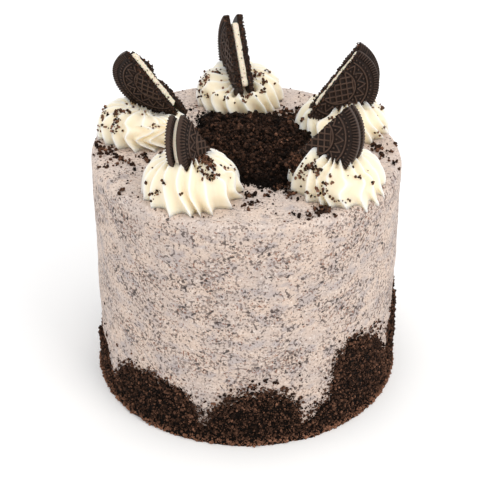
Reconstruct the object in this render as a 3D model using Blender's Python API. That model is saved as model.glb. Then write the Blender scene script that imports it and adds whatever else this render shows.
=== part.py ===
"""A cookies and cream cake, 160 mm across and 130 mm high, with all that stands on it.

The cake is one upright drum of frosting. A coat of dark crumbs climbs its side from the foot in
ten arches, and a few crumbs lie in drifts on its top. A low heap of the same crumbs fills the
middle of the top. Five piped rosettes stand round the heap, and half a sandwich biscuit, two
wafers with a filling between them, leans in each rosette.

Metres, +Z up. The origin is the middle of the cake's underside, and -Y is the front.
"""

import math

import bmesh
import bpy
import numpy as np
from mathutils import Matrix, Vector, noise
from mathutils.geometry import delaunay_2d_cdt

MM = 0.001

# The drum of the cake
CAKE_RADIUS = 80 * MM
CAKE_HEIGHT = 130 * MM
TOP_SLOPE = 0.026                  # the top falls by this much for each unit towards +X
EDGE_ROUNDING = 4 * MM
EDGE_STEPS = 3
AZIMUTH_STEPS = 108
NOISE_GAIN = 1.6                   # brings Blender's noise to a range of about -1 to 1

# The coat of crumbs on the side: middle azimuth, reach to its left and to its right in degrees,
# height in millimetres
ARCHES = (
    (-166, 13, 7, 25),
    (-125, 24, 17, 31),
    (-82, 22, 12, 30.5),
    (-60, 7, 6, 19),
    (-48, 10, 24, 50),
    (-5, 15, 15, 44),
    (30, 17, 17, 38),
    (68, 18, 18, 46),
    (108, 19, 19, 36),
    (149, 19, 17, 41),
)
COAT_BASE = 9.5 * MM               # height of the coat between two arches
COAT_THICKNESS = 1.6 * MM
COAT_UNEVENNESS = 1.3 * MM
COAT_LEAST = 0.2 * MM              # thickness of the coat where it is thinnest
COAT_BUMP = 3 * MM                 # size of the bumps in the coat
COAT_ROW = 4.4 * MM
COAT_ROWS_TOP = 58 * MM
EDGE_WANDER = 1 * MM               # how far the coat's upper edge wanders up and down
EDGE_WAVE = 0.09                   # size of these wanders, in cake radii
EDGE_FADE = 3 * MM                 # height over which the coat thins out to nothing
FOOT_HEIGHT = 6 * MM
FOOT_EXTRA = 0.8 * MM              # the foot is thicker than the coat above it by this much
LOOSE_SIDE_CRUMBS = 25
LOOSE_CRUMB_SHIFT = 0.4            # how far each strays round the cake, as a share of their spacing
LOOSE_CRUMB_BAND = (-1.5, 4.5)     # how far over the coat's edge they lie, in millimetres

# Crumbs: size is a radius, and the rest are shares of it
CRUMB_SMALL = 1.2 * MM
CRUMB_LARGE = 2.2 * MM
CRUMB_LIFT = 0.4                   # how far a crumb's middle stands out of what it lies on
CRUMB_SQUASH = (0.75, 1.1)         # least and greatest size along each axis
CRUMB_PUSH = (0.85, 1.15)          # how far a corner is pushed in or out
CRUMB_REACH = 1.3                  # the furthest corner

# Drifts of crumbs on the top: middle x and y, half length, half width in millimetres,
# direction in degrees, number of crumbs
DRIFTS = (
    (-66, -13, 12, 5, -20, 10),
    (-54, -20, 6, 6, 0, 5),
    (2, -53, 9, 5, 80, 6),
    (34, -67, 8, 2, 0, 5),
    (72, -5, 14, 4, 95, 6),
    (21, 45, 9, 5, 100, 3),
    (17, -47, 6, 5, 90, 4),
)
DRIFT_SPREAD = 0.6                 # how far a crumb usually lies from the middle of its drift

# The heap of crumbs in the middle of the top
HEAP_RADIUS = 39 * MM
HEAP_WANDER = 1.5 * MM
HEAP_WAVE = 0.3                    # size of the wanders in its outline, in its radii
# Where it reaches out or falls back: azimuth and width in degrees, millimetres
HEAP_BULGES = (
    (-66, 16, 7.0),
    (62, 20, 2.0),
    (93, 14, -2.0),
    (122, 9, 5.5),
    (146, 11, -8.0),
    (180, 30, -3.0),
)
HEAP_HEIGHT = 6.5 * MM
HEAP_RIM = 2.2 * MM
HEAP_LEAST = 1.2 * MM              # the heap is nowhere thinner than this
HEAP_BUMPS = 1.4 * MM
HEAP_BUMP = 3 * MM
HEAP_PITCH = 3.7 * MM              # side of the triangles in the grid of points
HEAP_SHIFT = 0.25                  # how far each point strays from the grid, in pitches
HEAP_LONGEST_SIDE = 1.7            # a triangle with a longer side, in pitches, is left out
HEAP_LUMPS = 18
HEAP_LUMP_SIZE = (2.4, 3.1)        # least and greatest radius in millimetres
HEAP_LUMP_ROOM = 5 * MM            # from a lump's middle to the nearest rosette

# The piped rosettes: middle x and y, radius and height in millimetres
ROSETTES = {
    "back": (-3.8, 57.2, 23.6, 20.2),
    "back_right": (51.8, 26.5, 23.6, 18.0),
    "front_right": (44.6, -36.8, 23.8, 18.8),
    "front_left": (-26.4, -48.0, 23.6, 21.3),
    "back_left": (-54.2, 15.3, 23.8, 17.5),
}
DOME_REACH_POWER = 0.95            # the dome's outline: cos and sin of the climb to these powers
DOME_HEIGHT_POWER = 0.6
RIBS = 18
RIB_SAMPLES = 3
RIB_DEPTH = 2 * MM
FOOT_DEPTH = 1.6 * MM              # the hollows between the ribs are this much deeper at the foot
RIB_TIP = 0.8 * MM                 # how far a rib's foot flares out past the radius
RIB_VARIETY = 0.2                  # how much deeper some hollows are than others
RING_ANGLES = (0, 3, 12, 25, 40, 57, 76)
RIB_SWING = 0.2                    # radians that a crest swings aside
SWINGS = {"front_right": 0.4, "front_left": 0.55}   # share of that swing in these rosettes
SWING_POWER = 0.75                 # below 1, it swings furthest below half way up
RIB_KICK = 0.07                    # radians that its foot kicks out to the other side
ROSETTE_PHASE = 1.7                # radians between the waves of one rosette and the next
# Slow waves in the ribs: waves round the rosette, radians for the climb, phases, size in radians
RIB_WAVES = ((5, 0, 2, 0.05), (3, 0, -1, 0.04), (4, 7, 3, 0.05))
# Where a biscuit presses the cream down, or heaps it up: x and y from the rosette's middle and
# spread in millimetres, share of the height that goes
DENTS = {
    "back": ((-3.0, -10.0, 12.0, 0.48), (5.0, -11.0, 5.0, 0.2)),
    "back_right": ((-11.5, -8.5, 10.0, 0.28),),
    "front_right": ((10.0, -7.5, 6.0, -0.12), (-14.0, -4.0, 6.0, -0.22)),
    "front_left": ((-5.0, -13.5, 9.0, -0.2), (0.0, -15.5, 5.0, -0.14)),
    "back_left": ((7.0, 2.0, 10.0, 0.5), (-4.5, 4.0, 5.0, 0.25)),
}
# Where the ribs fold to and fro: middle and width in degrees, swing in radians
FOLDS = {
    "back_left": ((292, 28, 0.32),),
    "front_left": ((345, 22, 0.2),),
    "front_right": ((300, 40, 0.1),),
    "back": ((215, 20, 0.1),),
}
FOLD_CLIMB = 0.43                  # the share of the climb over which they fold
# Where the ribs' feet reach out or are drawn in: middle and width in degrees, millimetres
TIPS = {
    "back_right": ((200, 38, 3.0),),
    "front_right": ((320, 50, -0.8),),
    "front_left": ((350, 30, 1.2),),
    "back": ((265, 40, 1.2),),
}
TIP_SWAY = 0.2                     # radians by which a rib's foot may stand aside of its place
SOFT_FEET = {"front_right": 0.4}   # share of the usual depth between the feet of the ribs
ROSETTE_CRUMBS = 4
ROSETTE_CRUMB_CLIMB = (0.2, 0.6)   # how far up they lie, as a share of the climb

# The half biscuits: a wafer's Z runs away from the filling in both wafers
BISCUIT_RADIUS = 22.25 * MM
WAFER_THICKNESS = 3.4 * MM
WAFER_RIM = 3 * MM                 # width of the raised band along the round edge
WAFER_RECESS = 0.5 * MM
FILLING_RADIUS = 17.8 * MM
WIDE_FILLINGS = {"front_left": 20 * MM}
FILLING_THICKNESS = 2.7 * MM
CHORD_RAGGED = 0.5 * MM
WAFER_CHORD = (-0.55, -0.2, 0.15, 0.5)   # places of the corners in the broken edge, in radii
FILLING_CHORD = (-0.4, 0.3)
WAFER_ARC_STEPS = 16
FILLING_ARC_STEPS = 12

# Middle of the disc in millimetres, the compass direction that the broken edge rises towards,
# its rise above level and its sideways lean in degrees
BISCUITS = {
    "back": ((-3.3, 55.1, 158.4), 110.1, 52.9, 3.6),
    "back_right": ((48.1, 24.1, 157.0), 7.8, 54.0, -0.1),
    "front_right": ((35.3, -33.5, 155.0), -26.6, 50.6, -14.7),
    "front_left": ((-23.0, -41.6, 153.8), -116.5, 62.8, 14.9),
    "back_left": ((-47.0, 17.0, 160.7), 156.3, 61.8, -19.7),
}
BIGGER_HALVES = {"back_right": 2.3 * MM}   # how far past the disc's middle line it broke
SPLAYED = {"back": 1.3}            # degrees that wafer a stands open at the upper end
# How far wafer b has slipped down along the broken edge
SLIPPED = {"back_left": 5 * MM, "back_right": 2.5 * MM}
# Where more of wafer b has broken off: place along the broken edge, width, depth in millimetres
BROKEN = {"back_left": ((8, 12, 1.9), (3, 4, 1.5), (11.5, 3, -2.0), (22, 4, 4.5))}

# Touching pieces stand this far apart
GAP = 0.3 * MM
SAME_PLANE = math.radians(0.4)     # faces at a smaller angle than this are merged

# Name, colour as red, green and blue from 0 to 1, and roughness
FROSTING = ("speckled_frosting", (0.58, 0.47, 0.41), 0.6)
CRUMBS = ("dark_crumbs", (0.028, 0.015, 0.01), 0.9)
CREAM = ("piped_cream", (0.93, 0.84, 0.66), 0.45)
WAFER = ("dark_wafer", (0.03, 0.019, 0.015), 0.7)
FILLING = ("biscuit_filling", (0.79, 0.71, 0.58), 0.5)


def new_material(name, colour, roughness):
    """A Principled material of one colour."""
    material = bpy.data.materials.new(name)
    material.use_nodes = True
    shader = material.node_tree.nodes["Principled BSDF"]
    shader.inputs["Base Color"].default_value = (*colour, 1.0)
    shader.inputs["Roughness"].default_value = roughness
    material.diffuse_color = (*colour, 1.0)
    return material


def new_object(name, points, faces, material, parent=None):
    """Links an object with this mesh to the scene."""
    mesh = bpy.data.meshes.new(name)
    mesh.from_pydata([tuple(point) for point in points], [], faces)
    mesh.update()
    item = bpy.data.objects.new(name, mesh)
    bpy.context.scene.collection.objects.link(item)
    item.parent = parent
    if material:
        mesh.materials.append(material)
    return item


def shade_round(item, sharp_angle=40):
    """Smooth shading, with edges sharper than this many degrees kept."""
    item.data.shade_smooth()
    item.data.set_sharp_from_angle(angle=math.radians(sharp_angle))


def keep_largest_body(mesh):
    """Leaves only the body with the most volume, so a sealed hollow or loose scrap goes."""
    shape = bmesh.new()
    shape.from_mesh(mesh)
    unseen = set(shape.faces)
    bodies = []
    while unseen:
        todo = [unseen.pop()]
        body = []
        while todo:
            face = todo.pop()
            body.append(face)
            for edge in face.edges:
                for other in edge.link_faces:
                    if other in unseen:
                        unseen.remove(other)
                        todo.append(other)
        bodies.append(body)
    bodies.sort(key=body_volume)
    for body in bodies[:-1]:
        bmesh.ops.delete(shape, geom=body, context="FACES")
    shape.to_mesh(mesh)
    shape.free()


def body_volume(faces):
    """Volume inside a closed set of faces, as cones from the origin. A hollow's is negative."""
    volume = 0.0
    for face in faces:
        first, *rest = [vert.co for vert in face.verts]
        for second, third in zip(rest, rest[1:]):
            volume += first.dot(second.cross(third)) / 6
    return volume


def join_or_cut(target, tools, operation):
    """Joins the tools to the target, or cuts them out of it, for good, and removes them."""
    group = bpy.data.collections.new("tools")
    bpy.context.scene.collection.children.link(group)
    for tool in tools:
        bpy.context.scene.collection.objects.unlink(tool)
        group.objects.link(tool)
    modifier = target.modifiers.new("join_or_cut", "BOOLEAN")
    modifier.operation = operation
    modifier.operand_type = "COLLECTION"
    modifier.collection = group
    modifier.solver = "EXACT"
    bpy.context.view_layer.update()
    graph = bpy.context.evaluated_depsgraph_get()
    mesh = bpy.data.meshes.new_from_object(target.evaluated_get(graph))
    target.modifiers.clear()
    keep_largest_body(mesh)
    material = target.data.materials[0]
    mesh.materials.clear()
    mesh.materials.append(material)
    target.data = mesh
    for tool in tools:
        bpy.data.objects.remove(tool, do_unlink=True)
    bpy.data.collections.remove(group)


def top_height(x):
    """Height of the flat top, which falls a little towards +X."""
    return CAKE_HEIGHT - TOP_SLOPE * x


def roughness_at(point, size):
    """Smooth noise from about -1 to 1, with bumps of this size."""
    return noise.noise(Vector(point) / size) * NOISE_GAIN


def new_crumb(centre, size, draw):
    """One crumb: an icosahedron of 20 faces with its corners pushed in and out."""
    shape = bmesh.new()
    bmesh.ops.create_icosphere(shape, subdivisions=1, radius=size)
    spin = Matrix.Rotation(draw.uniform(0, math.tau), 3, Vector(draw.normal(size=3)))
    squash = draw.uniform(*CRUMB_SQUASH, size=3)
    points = []
    for vert in shape.verts:
        corner = spin @ vert.co
        push = draw.uniform(*CRUMB_PUSH)
        points.append([centre[k] + corner[k] * squash[k] * push for k in range(3)])
    faces = [[vert.index for vert in face.verts] for face in shape.faces]
    shape.free()
    return new_object("crumb", points, faces, None)


def degrees_off(angle, middle):
    """How far an angle lies from a middle one, from -180 to 180 degrees."""
    return (angle - middle + 180) % 360 - 180


def coat_edge(azimuth):
    """Height of the crumb coat's upper edge at an azimuth in degrees: the highest arch there.

    An arch is two quarters of an ellipse that meet at its middle.
    """
    height = COAT_BASE
    for middle, left, right, arch in ARCHES:
        off = degrees_off(azimuth, middle)
        share = off / (left if off < 0 else right)
        if abs(share) < 1:
            rise = math.sqrt(1 - share ** 2)
            height = max(height, COAT_BASE + (arch * MM - COAT_BASE) * rise)
    angle = math.radians(azimuth)
    wander = roughness_at((math.cos(angle), math.sin(angle), 0.3), EDGE_WAVE)
    return height + EDGE_WANDER * wander


def coat_thickness(azimuth, z, point):
    """Thickness of the crumb coat: bumpy, thicker at the foot, and none above its edge."""
    cover = (coat_edge(azimuth) - z) / EDGE_FADE
    cover = min(max(cover, 0.0), 1.0)
    foot = FOOT_EXTRA if z < FOOT_HEIGHT else 0.0
    bumps = COAT_UNEVENNESS * roughness_at(point, COAT_BUMP)
    return cover * max(COAT_THICKNESS + foot + bumps, COAT_LEAST)


def side_rows():
    """Height and inward offset of each row of points, from the foot to the flat top."""
    rows = [(0.0, 0.0), (0.4 * FOOT_HEIGHT, 0.0)]
    z = FOOT_HEIGHT
    while z <= COAT_ROWS_TOP:
        rows.append((z, 0.0))
        z += COAT_ROW
    for step in range(EDGE_STEPS + 1):
        turn = math.pi / 2 * step / EDGE_STEPS
        rise = EDGE_ROUNDING * (math.sin(turn) - 1)
        rows.append((CAKE_HEIGHT + rise, EDGE_ROUNDING * (1 - math.cos(turn))))
    return rows


def make_drum(material):
    """The cake: rows of points round the axis, pushed out by the crumb coat and capped flat."""
    rows = side_rows()
    points = []
    for z, inset in rows:
        for step in range(AZIMUTH_STEPS):
            azimuth = 360 * step / AZIMUTH_STEPS
            angle = math.radians(azimuth)
            out = Vector((math.cos(angle), math.sin(angle), 0))
            spot = out * CAKE_RADIUS + Vector((0, 0, z))
            spot = out * (CAKE_RADIUS - inset + coat_thickness(azimuth, z, spot))
            points.append((spot.x, spot.y, z * top_height(spot.x) / CAKE_HEIGHT))
    faces = []
    for row in range(len(rows) - 1):
        for step in range(AZIMUTH_STEPS):
            here = row * AZIMUTH_STEPS + step
            beside = row * AZIMUTH_STEPS + (step + 1) % AZIMUTH_STEPS
            faces.append((here, beside, beside + AZIMUTH_STEPS, here + AZIMUTH_STEPS))
    faces.append(tuple(reversed(range(AZIMUTH_STEPS))))
    last = len(points) - AZIMUTH_STEPS
    faces.append(tuple(range(last, last + AZIMUTH_STEPS)))
    drum = new_object("cake", points, faces, material)
    merge_flat_faces(drum.data)
    return drum


def merge_flat_faces(mesh):
    """Merges neighbouring faces that lie in one plane, and splits all faces into triangles."""
    shape = bmesh.new()
    shape.from_mesh(mesh)
    bmesh.ops.dissolve_limit(
        shape,
        angle_limit=SAME_PLANE,
        verts=shape.verts[:],
        edges=shape.edges[:],
    )
    bmesh.ops.triangulate(shape, faces=shape.faces[:])
    shape.to_mesh(mesh)
    shape.free()


def heap_outline(angle):
    """Distance from the middle to the heap's edge, where no rosette stands in its way."""
    reach = HEAP_RADIUS
    reach += HEAP_WANDER * roughness_at((math.cos(angle), math.sin(angle), 2.0), HEAP_WAVE)
    for azimuth, width, out in HEAP_BULGES:
        off = degrees_off(math.degrees(angle), azimuth)
        reach += out * MM * math.exp(-(off / width) ** 2)
    return reach


def clear_of_rosettes(x, y, room):
    """Whether a spot on the top keeps this much room to every rosette."""
    for place, (middle_x, middle_y, radius, _) in ROSETTES.items():
        off_x = x - middle_x * MM
        off_y = y - middle_y * MM
        turn = math.atan2(off_y, off_x)
        tip = max(rib_tip(place, turn + sway) for sway in (-TIP_SWAY, 0, TIP_SWAY))
        if math.hypot(off_x, off_y) < radius * MM + max(tip, RIB_TIP) + room:
            return False
    return True


def drift_crumbs(draw):
    """The crumbs that lie in drifts on the top, clear of the rosettes and of the heap."""
    crumbs = []
    for x, y, half_length, half_width, direction, count in DRIFTS:
        turn = math.radians(direction)
        for _ in range(count):
            along, across = draw.normal(size=2) * DRIFT_SPREAD
            along *= half_length * MM
            across *= half_width * MM
            spot_x = x * MM + along * math.cos(turn) - across * math.sin(turn)
            spot_y = y * MM + along * math.sin(turn) + across * math.cos(turn)
            size = draw.uniform(CRUMB_SMALL, CRUMB_LARGE)
            reach = math.hypot(spot_x, spot_y)
            room = size * CRUMB_REACH + GAP
            on_flat = reach < CAKE_RADIUS - EDGE_ROUNDING - size
            past_heap = reach > heap_outline(math.atan2(spot_y, spot_x)) + room
            if on_flat and past_heap and clear_of_rosettes(spot_x, spot_y, room):
                height = top_height(spot_x) + CRUMB_LIFT * size
                crumbs.append(new_crumb((spot_x, spot_y, height), size, draw))
    return crumbs


def side_crumbs(draw):
    """Single crumbs on the side, at and just above the coat's upper edge."""
    crumbs = []
    for step in range(LOOSE_SIDE_CRUMBS):
        shift = draw.uniform(-1, 1) * LOOSE_CRUMB_SHIFT
        azimuth = 360 * (step + shift) / LOOSE_SIDE_CRUMBS
        angle = math.radians(azimuth)
        size = draw.uniform(CRUMB_SMALL, CRUMB_LARGE)
        z = coat_edge(azimuth) + draw.uniform(*LOOSE_CRUMB_BAND) * MM
        reach = CAKE_RADIUS + CRUMB_LIFT * size
        x = reach * math.cos(angle)
        crumbs.append(new_crumb((x, reach * math.sin(angle), z), size, draw))
    return crumbs


def make_cake(material):
    """The drum with its crumb coat, and the loose crumbs fused to it."""
    draw = np.random.default_rng(11)
    cake = make_drum(material)
    join_or_cut(cake, drift_crumbs(draw) + side_crumbs(draw), "UNION")
    shade_round(cake, 30)


def in_heap(x, y):
    """Whether a spot on the top lies inside the heap's outline and clear of the rosettes."""
    inside = math.hypot(x, y) < heap_outline(math.atan2(y, x))
    return inside and clear_of_rosettes(x, y, 2 * GAP)


def heap_height(x, y):
    """Height of the heap above the top: a low dome with crumb-size bumps."""
    share = min(math.hypot(x, y) / HEAP_RADIUS, 1.0)
    dome = HEAP_RIM + (HEAP_HEIGHT - HEAP_RIM) * (1 - share ** 2)
    return max(dome + HEAP_BUMPS * roughness_at((x, y, 0.05), HEAP_BUMP), HEAP_LEAST)


def heap_spots():
    """Points on a grid of triangles that lie in the heap."""
    draw = np.random.default_rng(5)
    spots = []
    row_step = math.sqrt(3) / 2
    furthest = max(heap_outline(math.radians(degree)) for degree in range(360))
    rows = math.ceil(furthest / HEAP_PITCH / row_step)
    for row in range(-rows, rows + 1):
        for column in range(-rows, rows + 1):
            shift_x, shift_y = draw.uniform(-1, 1, size=2) * HEAP_SHIFT
            x = (column + 0.5 * (row % 2) + shift_x) * HEAP_PITCH
            y = (row * row_step + shift_y) * HEAP_PITCH
            if in_heap(x, y):
                spots.append(Vector((x, y)))
    return spots


def short_triangle(spots, face):
    """Whether no side of the triangle is longer than about one step of the grid."""
    longest = max((spots[face[k]] - spots[face[k - 1]]).length for k in range(3))
    return longest < HEAP_LONGEST_SIDE * HEAP_PITCH


def make_heap(material):
    """The crumb heap: a bumpy upper face and a flat underside, sewn together at the edge."""
    spots = heap_spots()
    triangles = delaunay_2d_cdt(spots, [], [], 0, 1e-6)[2]
    shape = bmesh.new()
    verts = []
    for spot in spots:
        verts.append(shape.verts.new((spot.x, spot.y, top_height(spot.x) + GAP)))
    for face in triangles:
        if short_triangle(spots, face):
            shape.faces.new([verts[k] for k in face])
    loose = [vert for vert in shape.verts if not vert.link_faces]
    bmesh.ops.delete(shape, geom=loose, context="VERTS")
    raised = bmesh.ops.extrude_face_region(shape, geom=shape.faces[:])
    for item in raised["geom"]:
        if isinstance(item, bmesh.types.BMVert):
            item.co.z += heap_height(item.co.x, item.co.y)
    bmesh.ops.recalc_face_normals(shape, faces=shape.faces[:])
    mesh = bpy.data.meshes.new("crumb_heap")
    shape.to_mesh(mesh)
    shape.free()
    mesh.materials.append(material)
    heap = bpy.data.objects.new("crumb_heap", mesh)
    bpy.context.scene.collection.objects.link(heap)
    merge_flat_faces(mesh)
    join_or_cut(heap, heap_crumbs(spots), "UNION")
    shade_round(heap, 30)


def heap_crumbs(spots):
    """Larger crumbs fused to the heap, away from its edge."""
    draw = np.random.default_rng(23)
    crumbs = []
    inner = [spot for spot in spots if clear_of_rosettes(spot.x, spot.y, HEAP_LUMP_ROOM)]
    inner = [spot for spot in inner if spot.length < HEAP_RADIUS - 2 * HEAP_PITCH]
    for pick in draw.choice(len(inner), size=HEAP_LUMPS, replace=False):
        x, y = inner[pick]
        z = top_height(x) + GAP + heap_height(x, y)
        size = draw.uniform(*HEAP_LUMP_SIZE) * MM
        crumbs.append(new_crumb((x, y, z), size, draw))
    return crumbs


def rib_tip(place, turn):
    """How far the foot of a rib flares out past the rosette's radius, at a turn in radians."""
    tip = RIB_TIP
    for middle, width, size in TIPS.get(place, ()):
        tip += size * MM * math.exp(-(degrees_off(math.degrees(turn), middle) / width) ** 2)
    return tip


def rosette_point(place, turn, climb):
    """A point of a rosette's skin, in metres from the middle of its foot.

    turn goes once round, from 0 to tau, and climb goes from 0 at the foot to 1 at the top. The
    skin is a full dome with ribs: sharp crests with round hollows between them, which swing
    aside on the way up and flare out where they meet the cake. Each rosette's ribs differ a
    little, and the cream is lower where a biscuit has pressed it down.
    """
    phase = ROSETTE_PHASE * list(ROSETTES).index(place)
    lift = climb * math.pi / 2
    reach = ROSETTES[place][2] * MM * max(math.cos(lift), 0) ** DOME_REACH_POWER
    height = ROSETTES[place][3] * MM * math.sin(lift) ** DOME_HEIGHT_POWER
    hollow = abs(math.sin(RIBS * turn / 2))
    foot = FOOT_DEPTH * SOFT_FEET.get(place, 1.0)
    depth = RIB_DEPTH * (1 - 0.5 * climb) + foot * (1 - climb) ** 5
    depth *= hollow * (1 + RIB_VARIETY * math.sin(3 * turn + phase))
    reach += rib_tip(place, turn) * (1 - hollow) * (1 - climb) ** 6
    reach -= depth * math.cos(lift)
    height -= min(depth * math.sin(lift), height)
    angle = turn + rib_swing(place, turn, climb, phase)
    x = reach * math.cos(angle)
    y = reach * math.sin(angle)
    for dent_x, dent_y, spread, share in DENTS.get(place, ()):
        away = math.hypot(x - dent_x * MM, y - dent_y * MM) / (spread * MM)
        height *= 1 - share * math.exp(-away ** 2)
    return x, y, height


def rib_swing(place, turn, climb, phase):
    """Radians by which the skin is turned aside there: the swing, the kick, waves and folds."""
    swing = RIB_KICK * (1 - climb) ** 6
    leaning = 1 + 0.5 * math.sin(2 * turn + phase)
    swing -= RIB_SWING * SWINGS.get(place, 1.0) * leaning * math.sin(math.pi * climb ** SWING_POWER)
    for waves, twist, phases, size in RIB_WAVES:
        swing += size * math.sin(waves * turn + twist * climb + phases * phase)
    for middle, width, size in FOLDS.get(place, ()):
        off = degrees_off(math.degrees(turn), middle)
        to_and_fro = math.sin(math.tau * min(climb / FOLD_CLIMB, 1))
        swing -= size * math.exp(-(off / width) ** 2) * to_and_fro
    return swing


def make_rosette(place, material):
    """One rosette with a few crumbs fused to it, and a slot that its biscuit stands in."""
    middle = Vector((*ROSETTES[place][:2], 0)) * MM
    middle.z = top_height(middle.x) + GAP
    around = RIBS * RIB_SAMPLES
    points = []
    for angle in RING_ANGLES:
        for step in range(around):
            x, y, z = rosette_point(place, math.tau * step / around, angle / 90)
            points.append((x, y, z - TOP_SLOPE * x))
    points.append(rosette_point(place, 0, 1))
    faces = []
    for ring in range(len(RING_ANGLES) - 1):
        for step in range(around):
            here = ring * around + step
            beside = ring * around + (step + 1) % around
            faces.append((here, beside, beside + around))
            faces.append((here, beside + around, here + around))
    last = (len(RING_ANGLES) - 1) * around
    for step in range(around):
        faces.append((last + step, last + (step + 1) % around, len(points) - 1))
    faces.append(tuple(reversed(range(around))))
    rosette = new_object("rosette_" + place, points, faces, material)
    rosette.location = middle
    join_or_cut(rosette, rosette_crumbs(place, middle), "UNION")
    join_or_cut(rosette, [biscuit_envelope(place)], "DIFFERENCE")
    shade_round(rosette, 50)


def rosette_crumbs(place, middle):
    """A few crumbs on a rosette's upper slopes."""
    draw = np.random.default_rng(40 + list(ROSETTES).index(place))
    crumbs = []
    for step in range(ROSETTE_CRUMBS):
        turn = math.tau * (step + draw.uniform(0.1, 0.9)) / ROSETTE_CRUMBS
        x, y, z = rosette_point(place, turn, draw.uniform(*ROSETTE_CRUMB_CLIMB))
        size = draw.uniform(CRUMB_SMALL, 0.8 * CRUMB_LARGE)
        spot = middle + Vector((x, y, z - TOP_SLOPE * x + CRUMB_LIFT * size))
        crumbs.append(new_crumb(spot, size, draw))
    return crumbs


def biscuit_pose(place):
    """Placing of a half biscuit: X up along the broken edge, Y to the middle of the rim."""
    middle, compass, rise, lean = BISCUITS[place]
    compass, rise, lean = (math.radians(angle) for angle in (compass, rise, lean))
    level = Vector((math.cos(compass), math.sin(compass), 0))
    aside = Vector((math.sin(compass), -math.cos(compass), 0))
    upright = Vector((0, 0, math.cos(lean))) + aside * math.sin(lean)
    along = level * math.cos(rise) + upright * math.sin(rise)
    across = level * math.sin(rise) - upright * math.cos(rise)
    turned = Matrix((along, across, along.cross(across))).transposed()
    return Matrix.Translation(Vector(middle) * MM) @ turned.to_4x4()


def arc_points(radius, steps, extra):
    """Points on a circle, from the +X end of a line at Y = -extra round to its -X end."""
    start = -math.asin(extra / radius)
    sweep = math.pi - 2 * start
    angles = [start + sweep * step / steps for step in range(steps + 1)]
    return [(radius * math.cos(angle), radius * math.sin(angle)) for angle in angles]


def ragged_chord(shares, radius, extra, draw):
    """Corners of a broken edge at these shares of the radius, from its -X end to its +X end."""
    return [(share * radius, draw.uniform(-1, 1) * CHORD_RAGGED - extra) for share in shares]


def break_line(breaks, x):
    """How far in from the disc's middle line the broken edge lies, at a place along it."""
    depth = 0.0
    for middle, width, size in breaks:
        depth += size * MM * math.exp(-((x / MM - middle) / width) ** 2)
    return depth


def make_wafer(name, side, draw, parent, material, extra=0.0, slip=0.0, splay=0.0, breaks=()):
    """Half a wafer on one side of the filling, with a raised band along its round edge.

    The broken edge is a little ragged, and the band ends there. side is 1 or -1, extra is how
    much more than half it is, slip slides the wafer down along the broken edge, splay opens it at
    the upper end, and breaks push the broken edge in.
    """
    outer = arc_points(BISCUIT_RADIUS, WAFER_ARC_STEPS, extra)
    inner = arc_points(BISCUIT_RADIUS - WAFER_RIM, WAFER_ARC_STEPS, extra)
    chord = ragged_chord(WAFER_CHORD, BISCUIT_RADIUS, extra, draw)
    floor = WAFER_THICKNESS - WAFER_RECESS
    levels = (
        ("under", outer, 0.0),
        ("under_in", [inner[0], inner[-1]], 0.0),
        ("under_chord", chord, 0.0),
        ("band", outer, WAFER_THICKNESS),
        ("band_in", inner, WAFER_THICKNESS),
        ("floor", inner, floor),
        ("floor_chord", chord, floor),
    )
    points = []
    ring = {}
    for label, outline, z in levels:
        ring[label] = list(range(len(points), len(points) + len(outline)))
        for x, y in outline:
            depth = break_line(breaks, x)
            on_chord = abs(y + extra) <= CHORD_RAGGED
            points.append((x, y + depth if on_chord else max(y, depth - extra), z))
    faces = []
    for step in range(WAFER_ARC_STEPS):
        for low, high in (("under", "band"), ("band", "band_in"), ("band_in", "floor")):
            a, b = ring[low][step:step + 2]
            c, d = ring[high][step:step + 2]
            faces.append((a, b, d, c))
    right, left = ring["under_in"]
    faces.append((*ring["floor"], *ring["floor_chord"]))
    faces.append((*reversed(ring["under"]), right, *reversed(ring["under_chord"]), left))
    low = [left, *ring["under_chord"], right]
    high = [ring["floor"][-1], *ring["floor_chord"], ring["floor"][0]]
    for step in range(len(low) - 1):
        faces.append((low[step], low[step + 1], high[step + 1], high[step]))
    faces.append((right, ring["under"][0], ring["band"][0], ring["band_in"][0], ring["floor"][0]))
    faces.append((ring["under"][-1], left, ring["floor"][-1], ring["band_in"][-1], ring["band"][-1]))
    if side < 0:
        faces = [tuple(reversed(face)) for face in faces]
    start = FILLING_THICKNESS / 2 + GAP
    placed = []
    for x, y, z in points:
        open_by = math.tan(math.radians(splay)) * (x + BISCUIT_RADIUS)
        placed.append((x - slip, y, side * (start + z + open_by)))
    wafer = new_object(name, placed, faces, material, parent)
    shade_round(wafer)


def make_filling(name, radius, extra, draw, parent, material):
    """The cream between the wafers: half a flat disc, a little smaller than the wafers."""
    outline = arc_points(radius, FILLING_ARC_STEPS, extra)
    outline += ragged_chord(FILLING_CHORD, radius, extra, draw)
    half = FILLING_THICKNESS / 2
    count = len(outline)
    points = [(x, y, z) for z in (-half, half) for x, y in outline]
    filling = new_object(name, points, prism_faces(count), material, parent)
    shade_round(filling)


def make_biscuit(place, wafer_material, filling_material):
    """Two wafers and a filling, hung from an empty that holds the biscuit's place."""
    draw = np.random.default_rng(60 + list(BISCUITS).index(place))
    holder = bpy.data.objects.new("place_of_biscuit_" + place, None)
    bpy.context.scene.collection.objects.link(holder)
    holder.matrix_world = biscuit_pose(place)
    name = "biscuit_" + place
    splay = SPLAYED.get(place, 0.0)
    slip = SLIPPED.get(place, 0.0)
    breaks = BROKEN.get(place, ())
    extra = BIGGER_HALVES.get(place, 0.0)
    radius = WIDE_FILLINGS.get(place, FILLING_RADIUS)
    make_wafer(name + "_wafer_a", 1, draw, holder, wafer_material, extra, splay=splay)
    make_wafer(name + "_wafer_b", -1, draw, holder, wafer_material, extra, slip, breaks=breaks)
    make_filling(name + "_filling", radius, extra, draw, holder, filling_material)


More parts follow.
